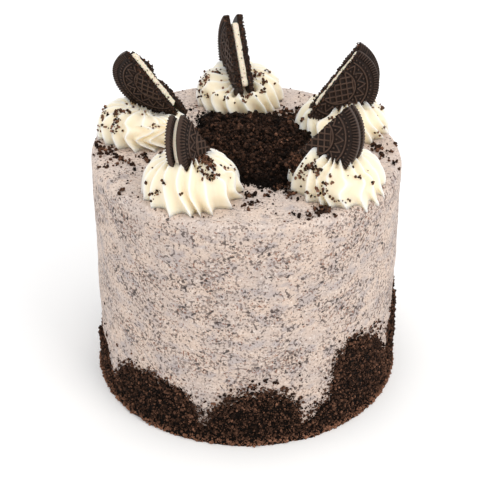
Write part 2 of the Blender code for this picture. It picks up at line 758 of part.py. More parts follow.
def biscuit_envelope(place):
    """A plain solid that wraps a half biscuit with a gap all round, to cut its slot with."""
    slip = SLIPPED.get(place, 0.0)
    open_by = math.tan(math.radians(SPLAYED.get(place, 0.0)))
    reach = BISCUIT_RADIUS + 2 * GAP
    extra = BIGGER_HALVES.get(place, 0.0)
    below = -CHORD_RAGGED - GAP - extra
    arc = arc_points(reach, WAFER_ARC_STEPS, extra)
    outline = [(x - (slip if x < 0 else 0.0), y) for x, y in arc]
    outline += [(-reach - slip, below), (reach, below)]
    half = FILLING_THICKNESS / 2 + WAFER_THICKNESS + 2 * GAP
    count = len(outline)
    pose = biscuit_pose(place)
    points = [pose @ Vector((x, y, -half)) for x, y in outline]
    points += [pose @ Vector((x, y, half + open_by * (x + reach))) for x, y in outline]
    return new_object("envelope", points, prism_faces(count), None)


def prism_faces(count):
    """Faces of a prism whose lower outline comes first in its points, then its upper one."""
    faces = [tuple(reversed(range(count))), tuple(range(count, 2 * count))]
    for step in range(count):
        beside = (step + 1) % count
        faces.append((step, beside, beside + count, step + count))
    return faces


def main():
    """Clears the scene and makes every piece."""
    for item in list(bpy.data.objects):
        bpy.data.objects.remove(item, do_unlink=True)
    make_cake(new_material(*FROSTING))
    make_heap(new_material(*CRUMBS))
    cream = new_material(*CREAM)
    wafer = new_material(*WAFER)
    filling = new_material(*FILLING)
    for place in ROSETTES:
        make_biscuit(place, wafer, filling)
        make_rosette(place, cream)


main()
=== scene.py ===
"""The looks of a cookies and cream cake: frosting, crumbs, piped cream and half biscuits.

The cake stands at the origin with +Z up, and -Y is its front. Every surface is worked out as an
array of points on a grid of rows and columns, in metres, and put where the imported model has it.
"""

import math

import bpy
import numpy as np
from bpy.props import FloatProperty, FloatVectorProperty, IntProperty, PointerProperty
from mathutils import Matrix, Vector, noise


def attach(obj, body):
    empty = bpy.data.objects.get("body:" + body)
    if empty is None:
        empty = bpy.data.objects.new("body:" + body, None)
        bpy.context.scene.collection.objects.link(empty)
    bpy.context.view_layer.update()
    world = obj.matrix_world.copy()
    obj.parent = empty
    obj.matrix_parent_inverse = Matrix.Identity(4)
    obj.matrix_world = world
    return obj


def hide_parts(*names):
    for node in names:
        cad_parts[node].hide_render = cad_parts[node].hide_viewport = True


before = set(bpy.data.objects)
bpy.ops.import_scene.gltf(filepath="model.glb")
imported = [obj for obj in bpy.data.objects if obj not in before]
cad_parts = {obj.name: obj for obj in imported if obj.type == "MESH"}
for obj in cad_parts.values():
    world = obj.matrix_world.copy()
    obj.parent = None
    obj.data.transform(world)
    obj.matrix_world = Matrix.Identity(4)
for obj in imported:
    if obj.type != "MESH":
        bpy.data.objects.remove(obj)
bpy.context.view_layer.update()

bl_info = {
    "name": "Cookies and Cream Cake",
    "version": (1, 0, 0),
    "blender": (4, 5, 0),
    "location": "3D View > Sidebar > Cake",
    "description": "Frosting, crumbs, piped cream and half biscuits for a round cake",
    "category": "Add Mesh",
}

MM = 0.001

# The drum of the cake
CAKE_RADIUS = 80 * MM
CAKE_HEIGHT = 130 * MM
TOP_SLOPE = 0.026                  # the top falls by this much for each unit towards +X
EDGE_ROUNDING = 4 * MM
DRUM_COLUMNS = 600
SIDE_ROW = 1.5 * MM

# The coat of crumbs on the side: middle azimuth, reach to its left and to its right in degrees,
# height in millimetres
ARCHES = (
    (-166, 13, 7, 25), (-125, 24, 17, 31), (-82, 22, 12, 30.5), (-60, 7, 6, 19), (-48, 10, 24, 50),
    (-22, 4, 4, 17), (-5, 15, 15, 44), (30, 17, 17, 38), (68, 18, 18, 46), (108, 19, 19, 36),
    (149, 19, 17, 41),
)
COAT_BASE = 9.5 * MM
# Where the frosting shows through the coat: azimuth in degrees, height, width and rise in mm
COAT_GAPS = ((-107, 15, 4, 5), (-64.5, 15, 4, 5), (-60, 25, 3, 5), (-20, 27, 3, 6))
COAT_GAP_DEPTH = 5 * MM            # how far such a gap draws the coat's edge back
COAT_THICKNESS = 1.1 * MM
COAT_SUNK = 0.5 * MM               # how deep the coat's shell lies in the frosting where it is bare
COAT_TOP = 58 * MM
COAT_COLUMNS = 880
COAT_ROWS = 84
EDGE_WANDER = 1 * MM
FOOT_HEIGHT = 6 * MM
FOOT_EXTRA = 1.1 * MM              # the foot is thicker than the coat above it by this much

# Clumps of crumbs on the side: azimuth in degrees, height, spread in millimetres, pieces
SIDE_CLUMPS = (
    (-87.2, 37.3, 1.7, 22), (-83, 40.6, 0.8, 6), (-79.6, 38.3, 1.1, 9), (-81.1, 31.5, 2, 18),
    (-92.3, 32.2, 2.6, 22), (-97.8, 28.5, 2.2, 16), (-75.9, 33.8, 1, 6), (-70, 26.5, 1.8, 10),
    (-137.7, 31.5, 1.1, 7), (-138.6, 33, 0.6, 3), (-129.9, 33.5, 1.6, 10), (-34.6, 48.5, 1.2, 9),
    (-30.5, 50, 0.8, 4), (-17, 31, 2, 10), (-1, 49, 1.6, 22), (60, 50, 1.6, 9), (118, 38, 1.6, 9),
    (152, 45, 1.4, 8),
)

# Clumps of crumbs on the top: x, y, spread in millimetres, pieces
TOP_CLUMPS = (
    (-77, 2, 1.6, 14), (-75, -4, 1.6, 12), (-74, -9, 2, 16), (-70, -5, 2, 12), (-68, -12, 2, 12),
    (-71, -24, 1.4, 8), (-66, -22, 1.6, 9), (-64, -16, 1.4, 8), (-58, -21, 1.8, 12),
    (-53.5, -12, 1.8, 14), (-49.5, -17.5, 1.4, 8), (-55, -26, 0.9, 4), (-61, -48, 1.1, 6),
    (-46, -26, 1.2, 5), (-6, -42, 1.6, 10), (-2, -46, 1.6, 9), (2, -50, 1.8, 13), (3, -58, 1.3, 7),
    (0, -61, 1.2, 6), (5, -56, 0.9, 4), (11, -50, 1.1, 5), (35, -63.5, 2.2, 30),
    (38.5, -61.5, 1.6, 14), (24, -67, 1.2, 7), (30, -68.5, 1.2, 7), (42, -68, 0.8, 3),
    (68, 1, 1.8, 14), (70, -6, 1.5, 9), (74, -1, 1.2, 6), (74, -11, 1.5, 9), (77, -15, 1, 4),
    (66, 8, 1.4, 8), (78, 8, 0.8, 3), (20, 43, 2.6, 44), (16, 51, 1.8, 20), (23, 36, 2.8, 46),
    (28, 46, 1.6, 14), (30, 41, 1.6, 14), (28, 27, 2.4, 20), (19, -40, 2.2, 22), (22, -48, 2.2, 24),
    (21, -35, 2.2, 22), (27, -44, 1.8, 16), (14, -42, 2, 16),
)

# The heap of crumbs in the middle of the top
HEAP_RADIUS = 39 * MM
HEAP_WANDER = 1.5 * MM
# Where it reaches out or falls back: azimuth and width in degrees, millimetres
HEAP_BULGES = (
    (-66, 16, 7), (62, 20, 2), (93, 14, -2), (122, 9, 5.5), (146, 11, -8), (180, 30, -3),
)
HEAP_HEIGHT = 6.5 * MM
HEAP_RIM = 2.2 * MM
HEAP_SUNK = 0.4 * MM               # how deep its core lies in the frosting
HEAP_COLUMNS = 360
HEAP_ROWS = 56

TRIES = 6                          # places tried for each loose crumb that is kept

# The piped rosettes: middle x and y, radius and height in millimetres
ROSETTES = {
    "back": (-3.8, 57.2, 23.6, 20.2),
    "back_right": (51.8, 26.5, 23.6, 18.0),
    "front_right": (44.6, -36.8, 23.8, 18.8),
    "front_left": (-26.4, -48.0, 23.6, 21.3),
    "back_left": (-54.2, 15.3, 23.8, 17.5),
}
RIBS = 18
RIB_COLUMNS = 20
RIB_ROWS = 72
RIB_DEPTH = 2 * MM
FOOT_DEPTH = 1.6 * MM
RIB_TIP = 0.8 * MM                 # how far a crest's foot reaches out
RIB_SWING = 0.2                    # how far the crests swing aside half way up, in radians
SWINGS = {"front_right": 0.4, "front_left": 0.55}   # share of that swing in these rosettes
RIB_KICK = 0.07                    # how far their feet kick back, in radians
ROSETTE_PHASE = 1.7                # radians between the swings of one rosette and the next
# Where a biscuit presses the cream down, or heaps it up: x and y from the rosette's middle and
# spread in millimetres, share of the height that goes
DENTS = {
    "back": ((-3, -10, 12, 0.48), (5, -11, 5, 0.2)),
    "back_right": ((-11.5, -8.5, 10, 0.28),),
    "front_right": ((10, -7.5, 6, -0.12), (-14, -4, 6, -0.22)),
    "front_left": ((-5, -13.5, 9, -0.2), (0, -15.5, 5, -0.14)),
    "back_left": (
        (7, 2, 10, 0.48), (-4.5, 4, 5, 0.25), (-9.3, 2.7, 1.6, -0.13),
        (-6.4, -0.6, 1.6, -0.14), (-3, -1.6, 1.6, -0.15), (0.2, -3.2, 1.6, -0.15),
        (3.7, -4.4, 1.6, -0.15),
    ),
}
# Where the ribs fold to and fro: middle and width in degrees, swing in radians
FOLDS = {
    "back_left": ((292, 28, 0.32),),
    "front_left": ((345, 22, 0.2),),
    "front_right": ((300, 40, 0.1),),
    "back": ((215, 20, 0.1),),
}
FOLD_CLIMB = 0.43                  # the folds end at this climb
# Where the ribs' feet reach out or are drawn in: middle and width in degrees, millimetres
TIPS = {
    "back_right": ((200, 38, 3.0),),
    "front_right": ((320, 50, -0.8),),
    "front_left": ((350, 30, 1.2),),
    "back": ((265, 40, 1.2),),
}
SOFT_FEET = {"front_right": 0.4}   # share of the usual depth between the feet of the ribs
PEAK_HEIGHT = 3.6 * MM             # how far a crest stands over a hollow beside the biscuit

# Clumps of crumbs on the cream: turn in degrees, climb, spread in millimetres, pieces
CREAM_CLUMPS = {
    "front_left": (
        (300, 0.92, 2.2, 50), (318, 0.8, 2.4, 60), (339, 0.76, 2, 40), (328, 0.64, 1.4, 20),
        (345, 0.88, 2, 40), (10, 0.9, 1.6, 20), (308, 0.5, 1.6, 20), (298, 0.6, 1.2, 9),
        (282, 0.66, 1.2, 8), (321, 0.46, 1.4, 13),
        (263, 0.67, 0.8, 4), (240, 0.32, 0.8, 4), (227, 0.14, 1, 8), (222, 0.05, 0.8, 5),
        (264, 0.2, 0.5, 2), (160, 0.48, 1.2, 8), (350, 0.45, 1.2, 8), (0, 0.3, 0.7, 3),
    ),
    "front_right": (
        (209, 0.4, 1.6, 16), (220, 0.5, 1.8, 22), (236, 0.5, 1.5, 16), (240, 0.4, 1.2, 12),
        (258, 0.28, 1.2, 12), (262, 0.18, 1.2, 12), (240, 0.14, 1.2, 10), (223, 0.06, 1, 7),
        (205, 0.18, 1.2, 8), (270, 0.05, 1, 6), (283, 0.04, 0.9, 5), (298, 0.38, 0.6, 3),
        (320, 0.24, 0.6, 3), (262, 0.44, 0.6, 3),
    ),
    "back_left": (
        (222, 0.57, 1.5, 13), (240, 0.46, 1.5, 14), (243, 0.33, 1.5, 14), (243, 0.22, 1.2, 9),
        (223, 0.68, 1.2, 9), (203, 0.36, 1.2, 8), (206, 0.23, 1, 6), (242, 0.7, 1.2, 8),
        (224, 0.18, 0.9, 5), (202, 0.05, 0.9, 5), (280, 0.39, 0.8, 5), (290, 0.41, 0.8, 4),
        (180, 0.3, 1.2, 8),
    ),
    "back": (
        (160, 0.34, 1.3, 10), (205, 0.4, 1.8, 20), (202, 0.22, 1.4, 10), (203, 0.1, 1.2, 8),
        (224, 0.14, 1.2, 9), (240, 0.34, 0.8, 4), (258, 0.32, 1, 6), (280, 0.27, 1.2, 8),
        (289, 0.41, 1.5, 14), (317, 0.36, 1.2, 8), (335, 0.55, 1.4, 10), (340, 0.8, 1.6, 16),
        (358, 0.7, 1.6, 16), (190, 0.6, 1.6, 14), (170, 0.7, 1.4, 10), (20, 0.5, 1.4, 10),
    ),
    "back_right": (
        (203, 0.53, 1, 6), (162, 0.39, 0.9, 5), (203, 0.18, 0.7, 3), (320, 0.08, 0.9, 5),
        (339, 0.08, 1, 6), (20, 0.33, 1.2, 8), (19, 0.6, 1, 6), (244, 0.53, 0.9, 5),
    ),
}

CREAM_TURN = 20                    # millimetres of skin to a radian of turn
CREAM_CLIMB = 34                   # millimetres of skin from a rosette's foot to its top
SINGLE_CRUMBS = 26                 # crumbs on each rosette that lie in no clump

# The half biscuits: middle of the disc in millimetres, the compass direction that the broken
# edge rises towards, its rise above level and its sideways lean in degrees
BISCUITS = {
    "back": ((-3.3, 55.1, 158.4), 110.1, 52.9, 3.6),
    "back_right": ((48.1, 24.1, 157.0), 7.8, 54.0, -0.1),
    "front_right": ((35.3, -33.5, 155.0), -26.6, 50.6, -14.7),
    "front_left": ((-23.0, -41.6, 153.8), -116.5, 62.8, 14.9),
    "back_left": ((-47.0, 17.0, 160.7), 156.3, 61.8, -19.7),
}
BIGGER_HALVES = {"back_right": 2.3 * MM}   # how far past the disc's middle line it broke
SPLAYED = {"back": 1.3}            # degrees that wafer a stands open at the upper end
# How far wafer b has slipped down along the broken edge
SLIPPED = {"back_left": 5 * MM, "back_right": 2.5 * MM}
# Where more of wafer b has broken off: place along the broken edge, width, depth in millimetres
BROKEN = {"back_left": ((8, 12, 1.9), (3, 4, 1.5), (11.5, 3, -2.0), (22, 4, 4.5))}
BISCUIT_RADIUS = 22.25 * MM
BISCUIT_CORNER = 1.1 * MM
HALF_MIDDLE = 0.42                 # how far in a half disc's middle lies, in shares of its radius
WAFER_THICKNESS = 3.4 * MM
WAFER_FLOOR = 2.6 * MM             # thickness where the wafer has no relief
WAFER_BAND = 3 * MM                # width of the notched band along the rim
RIM_ROUNDING = 0.8 * MM
WAFER_LOOP = 330
WAFER_RINGS = 56
NOTCHES = 92                       # notches round a whole biscuit
WALL_SHADE = 0.72                  # share of the relief's painted highlight on a wafer's wall
FILLING_RADIUS = 17.8 * MM
WIDE_FILLINGS = {"front_left": 20 * MM}   # radius where the filling reaches further out
FILLING_THICKNESS = 2.7 * MM
FILLING_LOOP = 220
FILLING_CORNER = 1.5 * MM
FILLING_CRUMBS = 9                 # crumbs on each filling's broken edge
GAP = 0.3 * MM
WAFER_LEVEL = FILLING_THICKNESS / 2 + GAP   # how far a wafer's back lies from the middle

# Crumbs that hide a buried corner: x and y on the wafer's outer face, spread, pieces and side
FACE_CLUMPS = {
    "front_right": (
        (-20, 2, 1.6, 50, -1), (-16, 2.6, 1.5, 60, -1), (-12.5, 5, 1.5, 46, -1),
    ),
}

# The frosting is calmer near the top: the heights between which it changes, and how much
CALM_HEIGHTS = (120 * MM, 131 * MM)
CALM = 0.11

# Settings that shader nodes share
SMOOTH = {"interpolation_type": "SMOOTHSTEP"}
COLOURS = {"data_type": "RGBA"}

# The camera, 742 mm from the cake's foot, looks down by this angle
CAMERA_PLACE = Vector((1.84, -596.7, 441.4)) * MM
CAMERA_TILT = math.radians(32.05)
FOCAL_PIXELS = 1300
FRAME_PIXELS = 500
SENSOR_WIDTH = 36


def linear(code):
    """An sRGB hex colour as linear red, green and blue, with an alpha of 1."""
    parts = [int(code[start:start + 2], 16) / 255 for start in (1, 3, 5)]
    parts = [part / 12.92 if part < 0.04045 else ((part + 0.055) / 1.055) ** 2.4 for part in parts]
    return (*parts, 1.0)


def perlin(points, size, seed=0):
    """Smooth noise from about -1 to 1 at an array of points, with bumps of this size.

    Each corner of a cubic lattice holds a random direction. The noise is that direction times
    the way from the corner to the point, blended over the eight corners by 6t^5 - 15t^4 + 10t^3.
    """
    draw = np.random.default_rng(seed)
    ways = draw.normal(size=(256, 3))
    ways /= np.linalg.norm(ways, axis=1)[:, None]
    order = draw.permutation(256)
    cell = np.floor(points / size).astype(int)
    part = points / size - cell
    blend = part ** 3 * (part * (6 * part - 15) + 10)
    total = np.zeros(points.shape[:-1])
    for corner in np.ndindex(2, 2, 2):
        x, y, z = np.moveaxis((cell + corner) & 255, -1, 0)
        pick = order[(order[(order[x] + y) & 255] + z) & 255]
        share = np.prod(np.where(corner, blend, 1 - blend), axis=-1)
        total += share * np.sum(ways[pick] * (part - corner), axis=-1)
    return total * 1.9


def rough(points, *layers):
    """Layers of noise in millimetres at an array of points: how much, bump size and seed."""
    return sum(much * perlin(points, size * MM, seed) for much, size, seed in layers)


def fade(value, low, high):
    """A smooth step: 0 below low and 1 above high, by 3t^2 - 2t^3 between them."""
    share = np.clip((value - low) / (high - low), 0, 1)
    return share * share * (3 - 2 * share)


def ridge(away, half_width):
    """A rounded ridge: 1 within a third of its half width, 0 past it and a smooth step between."""
    return fade(1 - np.abs(away) / half_width, 0, 0.65)


def hump(off, width):
    """A smooth hump, exp(-(off / width)^2), which is 1 where off is 0."""
    return np.exp(-(off / width) ** 2)


def past_middle(angle, middle):
    """How far angles in degrees lie past a middle, from -180 to 180."""
    return (angle - middle + 180) % 360 - 180


def stack(x, y, z):
    """Three arrays of coordinates as one array of points."""
    return np.stack(np.broadcast_arrays(x, y, z), axis=-1).astype(float)


def skin(rows, poles=None):
    """Points and faces of a closed skin from an array of rows of points.

    The rows run from the top out, down and in again, and their points run counterclockwise seen
    from above, so the faces look outwards. Two poles close the first and the last row, and
    without poles the last row joins the first one.
    """
    count, around = rows.shape[:2]
    points = rows.reshape(-1, 3)
    index = np.arange(count * around).reshape(count, around)
    following = np.roll(index, -1, axis=1)
    below = np.roll(index, -1, axis=0)
    below_following = np.roll(below, -1, axis=1)
    faces = np.stack([index, below, below_following, following], axis=-1)
    if poles is None:
        return points, [faces.reshape(-1, 4)]
    points = np.vstack([points, poles])
    top = np.full(around, count * around)
    first = np.stack([top, index[0], following[0]], axis=-1)
    last = np.stack([index[-1], top + 1, following[-1]], axis=-1)
    return points, [faces[:-1].reshape(-1, 4), np.vstack([first, last])]


def new_piece(name, points, faces, material, slot, replaced=(), smooth=True, **values):
    """Makes a mesh object from arrays, which rides on the cake and stands for these CAD nodes."""
    mesh = bpy.data.meshes.new(name)
    mesh.vertices.add(len(points))
    mesh.vertices.foreach_set("co", np.asarray(points, np.float32).ravel())
    corners = np.concatenate([group.ravel() for group in faces])
    sides = np.concatenate([np.full(len(group), group.shape[1]) for group in faces])
    mesh.loops.add(len(corners))
    mesh.loops.foreach_set("vertex_index", corners.astype(np.int32))
    mesh.polygons.add(len(sides))
    starts = np.concatenate([[0], np.cumsum(sides)[:-1]])
    mesh.polygons.foreach_set("loop_start", starts.astype(np.int32))
    mesh.polygons.foreach_set("use_smooth", np.full(len(sides), smooth))
    mesh.update(calc_edges=True)
    for label, value in values.items():
        layer = mesh.attributes.new(label, "FLOAT", "POINT")
        layer.data.foreach_set("value", np.asarray(value, np.float32).ravel())
    mesh.materials.append(material)
    piece = bpy.data.objects.new(name, mesh)
    bpy.context.scene.collection.objects.link(piece)
    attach(piece, "root")
    if replaced:
        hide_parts(*replaced)


def icosahedron():
    """The 12 corners and 20 faces of an icosahedron of radius 1."""
    golden = (1 + math.sqrt(5)) / 2
    corners = []
    for a in (-1, 1):
        for b in (-golden, golden):
            corners += [(0, a, b), (a, b, 0), (b, 0, a)]
    corners = np.array(corners) / math.hypot(1, golden)
    faces = []
    for i in range(12):
        for j in range(i + 1, 12):
            for k in range(j + 1, 12):
                sides = [corners[i] - corners[j], corners[j] - corners[k], corners[k] - corners[i]]
                if max(np.linalg.norm(side) for side in sides) < 1.1:
                    turned = np.dot(corners[i], np.cross(corners[j], corners[k])) < 0
                    faces.append((i, k, j) if turned else (i, j, k))
    return corners, np.array(faces)


def octahedron():
    """The 6 corners and 8 faces of an octahedron of radius 1."""
    corners = np.concatenate([np.eye(3), -np.eye(3)])
    faces = []
    for x in (0, 3):
        for y in (1, 4):
            for z in (2, 5):
                turned = (x + y + z) % 2 == 0
                faces.append((x, z, y) if turned else (x, y, z))
    return corners, np.array(faces)


def random_turns(draw, count):
    """Random rotation matrices, from unit quaternions."""
    w, x, y, z = np.moveaxis(draw.normal(size=(count, 4)), -1, 0)
    norm = np.sqrt(w * w + x * x + y * y + z * z)
    w, x, y, z = w / norm, x / norm, y / norm, z / norm
    rows = [
        [1 - 2 * (y * y + z * z), 2 * (x * y - z * w), 2 * (x * z + y * w)],
        [2 * (x * y + z * w), 1 - 2 * (x * x + z * z), 2 * (y * z - x * w)],
        [2 * (x * z - y * w), 2 * (y * z + x * w), 1 - 2 * (x * x + y * y)],
    ]
    return np.moveaxis(np.array(rows), -1, 0)


def new_crumbs(name, centres, sizes, tones, draw, material, solid=icosahedron):
    """Crumbs as one mesh: small solids, each stretched, turned and with its corners pushed."""
    corners, faces = solid()
    count = len(centres)
    stretch = draw.uniform(0.65, 1.25, (count, 1, 3))
    push = draw.uniform(0.7, 1.3, (count, len(corners), 1))
    shapes = corners[None] * stretch * push * sizes[:, None, None]
    shapes = np.einsum("nij,nkj->nki", random_turns(draw, count), shapes)
    points = centres[:, None] + shapes
    points[..., 2] = np.maximum(points[..., 2], 0)
    all_faces = faces[None] + len(corners) * np.arange(count)[:, None, None]
    tones = np.repeat(np.clip(tones, 0, 1), len(corners))
    new_piece(
        name, points.reshape(-1, 3), [all_faces.reshape(-1, 3)], material, "crumbs",
        smooth=False, tone=tones,
    )


def add_node(tree, kind, inputs=None, output=0, **settings):
    """Adds a shader node with its settings, sets or links its inputs, and gives one output."""
    node = tree.nodes.new("ShaderNode" + kind)
    for label, value in settings.items():
        setattr(node, label, value)
    for label, value in (inputs or {}).items():
        if isinstance(value, bpy.types.NodeSocket):
            tree.links.new(value, node.inputs[label])
        else:
            node.inputs[label].default_value = value
    return node.outputs[output]


def new_material(name, **constants):
    """A material with its shader's constants set, its tree and the object's own coordinates."""
    material = bpy.data.materials.new(name)
    material.use_nodes = True
    tree = material.node_tree
    for label, value in constants.items():
        label = label.replace("_", " ").title().replace("Ior", "IOR")
        tree.nodes["Principled BSDF"].inputs[label].default_value = value
    return material, tree, object_place(tree)


def object_place(tree, stretch=(1, 1, 1)):
    """The object's own coordinates in metres, times a factor along each axis."""
    place = add_node(tree, "TexCoord", output="Object")
    return add_node(tree, "Mapping", {"Vector": place, "Scale": stretch})


def bumps_of(place, size, detail=2.0, roughness=0.5):
    """Inputs of noise from 0 to 1 with bumps of this size in millimetres."""
    return {"Vector": place, "Scale": 1 / (size * MM), "Detail": detail, "Roughness": roughness}


def step_of(value, low, high, out_low=0.0, out_high=1.0):
    """Inputs of a smooth step of a value from low to high, between two results."""
    return {
        "Value": value, "From Min": low, "From Max": high, "To Min": out_low, "To Max": out_high,
    }


def laid_over(tree, colour, value, low, high, over, strength=1.0):
    """Lays one colour over another by a smooth step of a value, up to this strength."""
    share = add_node(tree, "MapRange", step_of(value, low, high, 0.0, strength), **SMOOTH)
    return add_node(tree, "Mix", {0: share, 6: colour, 7: over}, 2, **COLOURS)


def give_surface(tree, colour, *bumps):
    """Links a colour and bumps to the shader: each has a height, a strength and a depth in mm."""
    links = {}
    for height, strength, depth in bumps:
        inputs = {"Height": height, "Strength": strength, "Distance": depth * MM, **links}
        links = {"Normal": add_node(tree, "Bump", inputs)}
    for label, socket in {"Base Color": colour, **links}.items():
        tree.links.new(socket, tree.nodes["Principled BSDF"].inputs[label])


def speckled_buttercream(settings):
    """Buttercream whipped with crushed biscuit and smoothed with a spatula.

    Matt pinkish beige. Dark specks of many sizes lie in uneven patches, fewer near the top, some
    of them sunk and bluish, and the spatula has drawn them out a little round the cake. A speck
    shows where its noise, plus a gain times the patch's noise, is over a limit.
    """
    material, tree, place = new_material(
        "speckled_buttercream", roughness=0.62, ior=1.46, specular_ior_level=0.3,
    )
    drawn = object_place(tree, (0.7, 0.7, 1.0))
    streaked = object_place(tree, (0.12, 0.12, 1.0))
    height = add_node(tree, "SeparateXYZ", {"Vector": place}, "Z")
    calm = add_node(tree, "MapRange", step_of(height, *CALM_HEIGHTS, 0.0, CALM), **SMOOTH)
    patches = {}
    for size in (7, 16):
        cloud = add_node(tree, "TexNoise", bumps_of(drawn, size, 3.0, 0.6))
        patches[size] = add_node(tree, "Math", {0: cloud, 1: calm}, operation="SUBTRACT")
    cloud = add_node(tree, "TexNoise", bumps_of(drawn, 11, 3.0, 0.6))
    stroke = add_node(tree, "TexNoise", bumps_of(streaked, 1.6, 3.0, 0.6))
    grain = add_node(tree, "TexNoise", bumps_of(place, 1.1, 2.0, 0.7))
    colour = (*settings.frosting, 1)
    colour = laid_over(tree, colour, cloud, 0.35, 0.68, (*settings.frosting_grey, 1))
    colour = laid_over(tree, colour, height, *CALM_HEIGHTS, linear("#FFF4EC"), CALM)
    colour = laid_over(tree, colour, stroke, 0.45, 0.75, linear("#E4D8CF"), 0.3)
    colour = laid_over(tree, colour, grain, 0.55, 0.75, linear("#F0E8E2"), 0.6)
    colour = laid_over(tree, colour, grain, 0.5, 0.3, linear("#97877D"), 0.4)
    layers = (
        (drawn, 4.5, 0.6, 0.1, 7, 0.4, "#9A959A", 0.45),
        (place, 1.3, 0.59, 0.06, 16, 0.5, "#6F615B", 0.75),
        (place, 1.2, 0.67, 0.04, 16, 0.3, "#7A482E", 0.8),
        (place, 1.7, 0.65, 0.05, 7, 0.5, "#493D39", 0.85),
        (drawn, 2.2, 0.71, 0.04, 16, 0.5, "#332B2B", 0.9),
    )
    for vector, size, limit, soft, patch, gain, code, strength in layers:
        speck = add_node(tree, "TexNoise", bumps_of(vector, size, 1.0))
        inputs = {0: patches[patch], 1: gain, 2: -0.5 * gain}
        gathered = add_node(tree, "Math", inputs, operation="MULTIPLY_ADD")
        speck = add_node(tree, "Math", {0: speck, 1: gathered}, operation="ADD")
        colour = laid_over(tree, colour, speck, limit - soft, limit + soft, linear(code), strength)
    fine = add_node(tree, "TexNoise", bumps_of(place, 0.9, 3.0, 0.6))
    streak = add_node(tree, "MapRange", step_of(stroke, 0.45, 0.75, 0.0, 0.3), **SMOOTH)
    give_surface(tree, colour, (fine, 0.35, 0.35), (streak, 0.5, 0.3))
    return material


def cocoa_crumb(settings):
    """Crushed dark cocoa biscuit: dry, rough and almost black, with a brown cast.

    Each crumb has its own tone, and its torn faces catch a little light. A fine noise, which
    also makes the bumps, darkens the colour where it is low and lightens it where it is high:
    painted shade in the pits and painted highlights on the grain.
    """
    material, tree, place = new_material(
        "crushed_cocoa_biscuit", roughness=0.85, ior=1.45, specular_ior_level=0.12,
    )
    tone = add_node(tree, "Attribute", output="Fac", attribute_name="tone")
    grain = add_node(tree, "TexNoise", bumps_of(place, 0.6, 2.0, 0.7))
    # Painted shade and highlight: darker where the grain's bumps are low, lighter where they are high
    pit_shade_and_highlight = add_node(tree, "MapRange", step_of(grain, 0.35, 0.65, 0.45, 1.55), **SMOOTH)
    share = add_node(tree, "Math", {0: tone, 1: pit_shade_and_highlight}, operation="MULTIPLY")
    inputs = {0: share, 6: (*settings.crumb, 1), 7: (*settings.crumb_light, 1)}
    give_surface(tree, add_node(tree, "Mix", inputs, 2, **COLOURS), (grain, 0.8, 0.4))
    return material


def piped_cream(settings):
    """Whipped buttercream piped through a star nozzle: smooth, soft and slightly see-through.

    Light goes a few millimetres into it. The thin crests are painted a near white cream and the
    hollows between them a warm pale yellow: painted light for the glow of the thin crests and
    for the light bounced between the ribs.
    """
    material, tree, place = new_material(
        "piped_vanilla_buttercream", roughness=0.42, ior=1.45, subsurface_weight=1.0,
        subsurface_scale=5 * MM, subsurface_radius=(1.0, 0.95, 0.85), specular_ior_level=0.3,
    )
    crest = add_node(tree, "Attribute", output="Fac", attribute_name="crest")
    soft = add_node(tree, "TexNoise", bumps_of(place, 1.6))
    # Painted light: a whiter cream on the crests and a warmer, slightly lighter yellow in the hollows
    inputs = {0: crest, 6: (*settings.cream_hollow_painted_light, 1), 7: (*settings.cream_crest_painted_light, 1)}
    give_surface(tree, add_node(tree, "Mix", inputs, 2, **COLOURS), (soft, 0.12, 0.5))
    return material


def cocoa_wafer(settings):
    """A baked, embossed cocoa wafer: very dark brown and dry, with a painted greyish highlight on its
    relief.

    The broken edge is rougher and a little redder than the baked faces.
    """
    material, tree, place = new_material(
        "embossed_cocoa_wafer", roughness=0.5, ior=1.45, specular_ior_level=0.2,
    )
    relief = add_node(tree, "Attribute", output="Fac", attribute_name="relief")
    torn = add_node(tree, "Attribute", output="Fac", attribute_name="torn")
    grain = add_node(tree, "TexNoise", bumps_of(place, 0.6, 3.0, 0.7))
    cloud = add_node(tree, "TexNoise", bumps_of(place, 5))
    # Painted shadow: the flanks of the relief's lines and its notches darken to near black
    face = laid_over(tree, (*settings.wafer, 1), relief, 0.0, 0.3, linear("#0C0604"))
    # Painted highlight: the tops of the raised lines are lightened to a greyish brown
    face = laid_over(tree, face, relief, 0.35, 0.95, (*settings.wafer_relief, 1))
    face = laid_over(tree, face, cloud, 0.4, 0.7, linear("#33231B"), 0.4)
    broken = laid_over(tree, linear("#0E0704"), grain, 0.45, 0.7, linear("#4A3020"))
    colour = add_node(tree, "Mix", {0: torn, 6: face, 7: broken}, 2, **COLOURS)
    depth = add_node(tree, "MapRange", step_of(torn, 0.0, 1.0, 0.25, 0.8), **SMOOTH)
    height = add_node(tree, "Math", {0: grain, 1: depth}, operation="MULTIPLY")
    give_surface(tree, colour, (height, 0.7, 0.5))
    return material


def biscuit_filling(settings):
    """Firm sugar cream pressed between the wafers: off-white, matt, torn where it broke."""
    material, tree, place = new_material(
        "pressed_sugar_cream", roughness=0.6, ior=1.45, subsurface_weight=0.15,
        subsurface_scale=1.5 * MM,
    )
    grain = add_node(tree, "TexNoise", bumps_of(place, 0.8, 3.0, 0.6))
    dust = add_node(tree, "TexNoise", bumps_of(place, 1.6, 1.0))
    colour = laid_over(tree, (*settings.filling, 1), grain, 0.35, 0.7, linear("#DDCFB6"))
    colour = laid_over(tree, colour, dust, 0.73, 0.79, linear("#4A2F20"), 0.9)
    give_surface(tree, colour, (grain, 0.5, 0.4))
    return material


def top_height(x):
    """Height of the flat top, which falls a little towards +X."""
    return CAKE_HEIGHT - TOP_SLOPE * x


def top_surface(x, y):
    """Height of the frosting's top with its rounded edge, at arrays of places."""
    past = np.clip(np.hypot(x, y) - CAKE_RADIUS + EDGE_ROUNDING, 0, EDGE_ROUNDING)
    return top_height(x) - EDGE_ROUNDING + np.sqrt(EDGE_ROUNDING ** 2 - past ** 2)


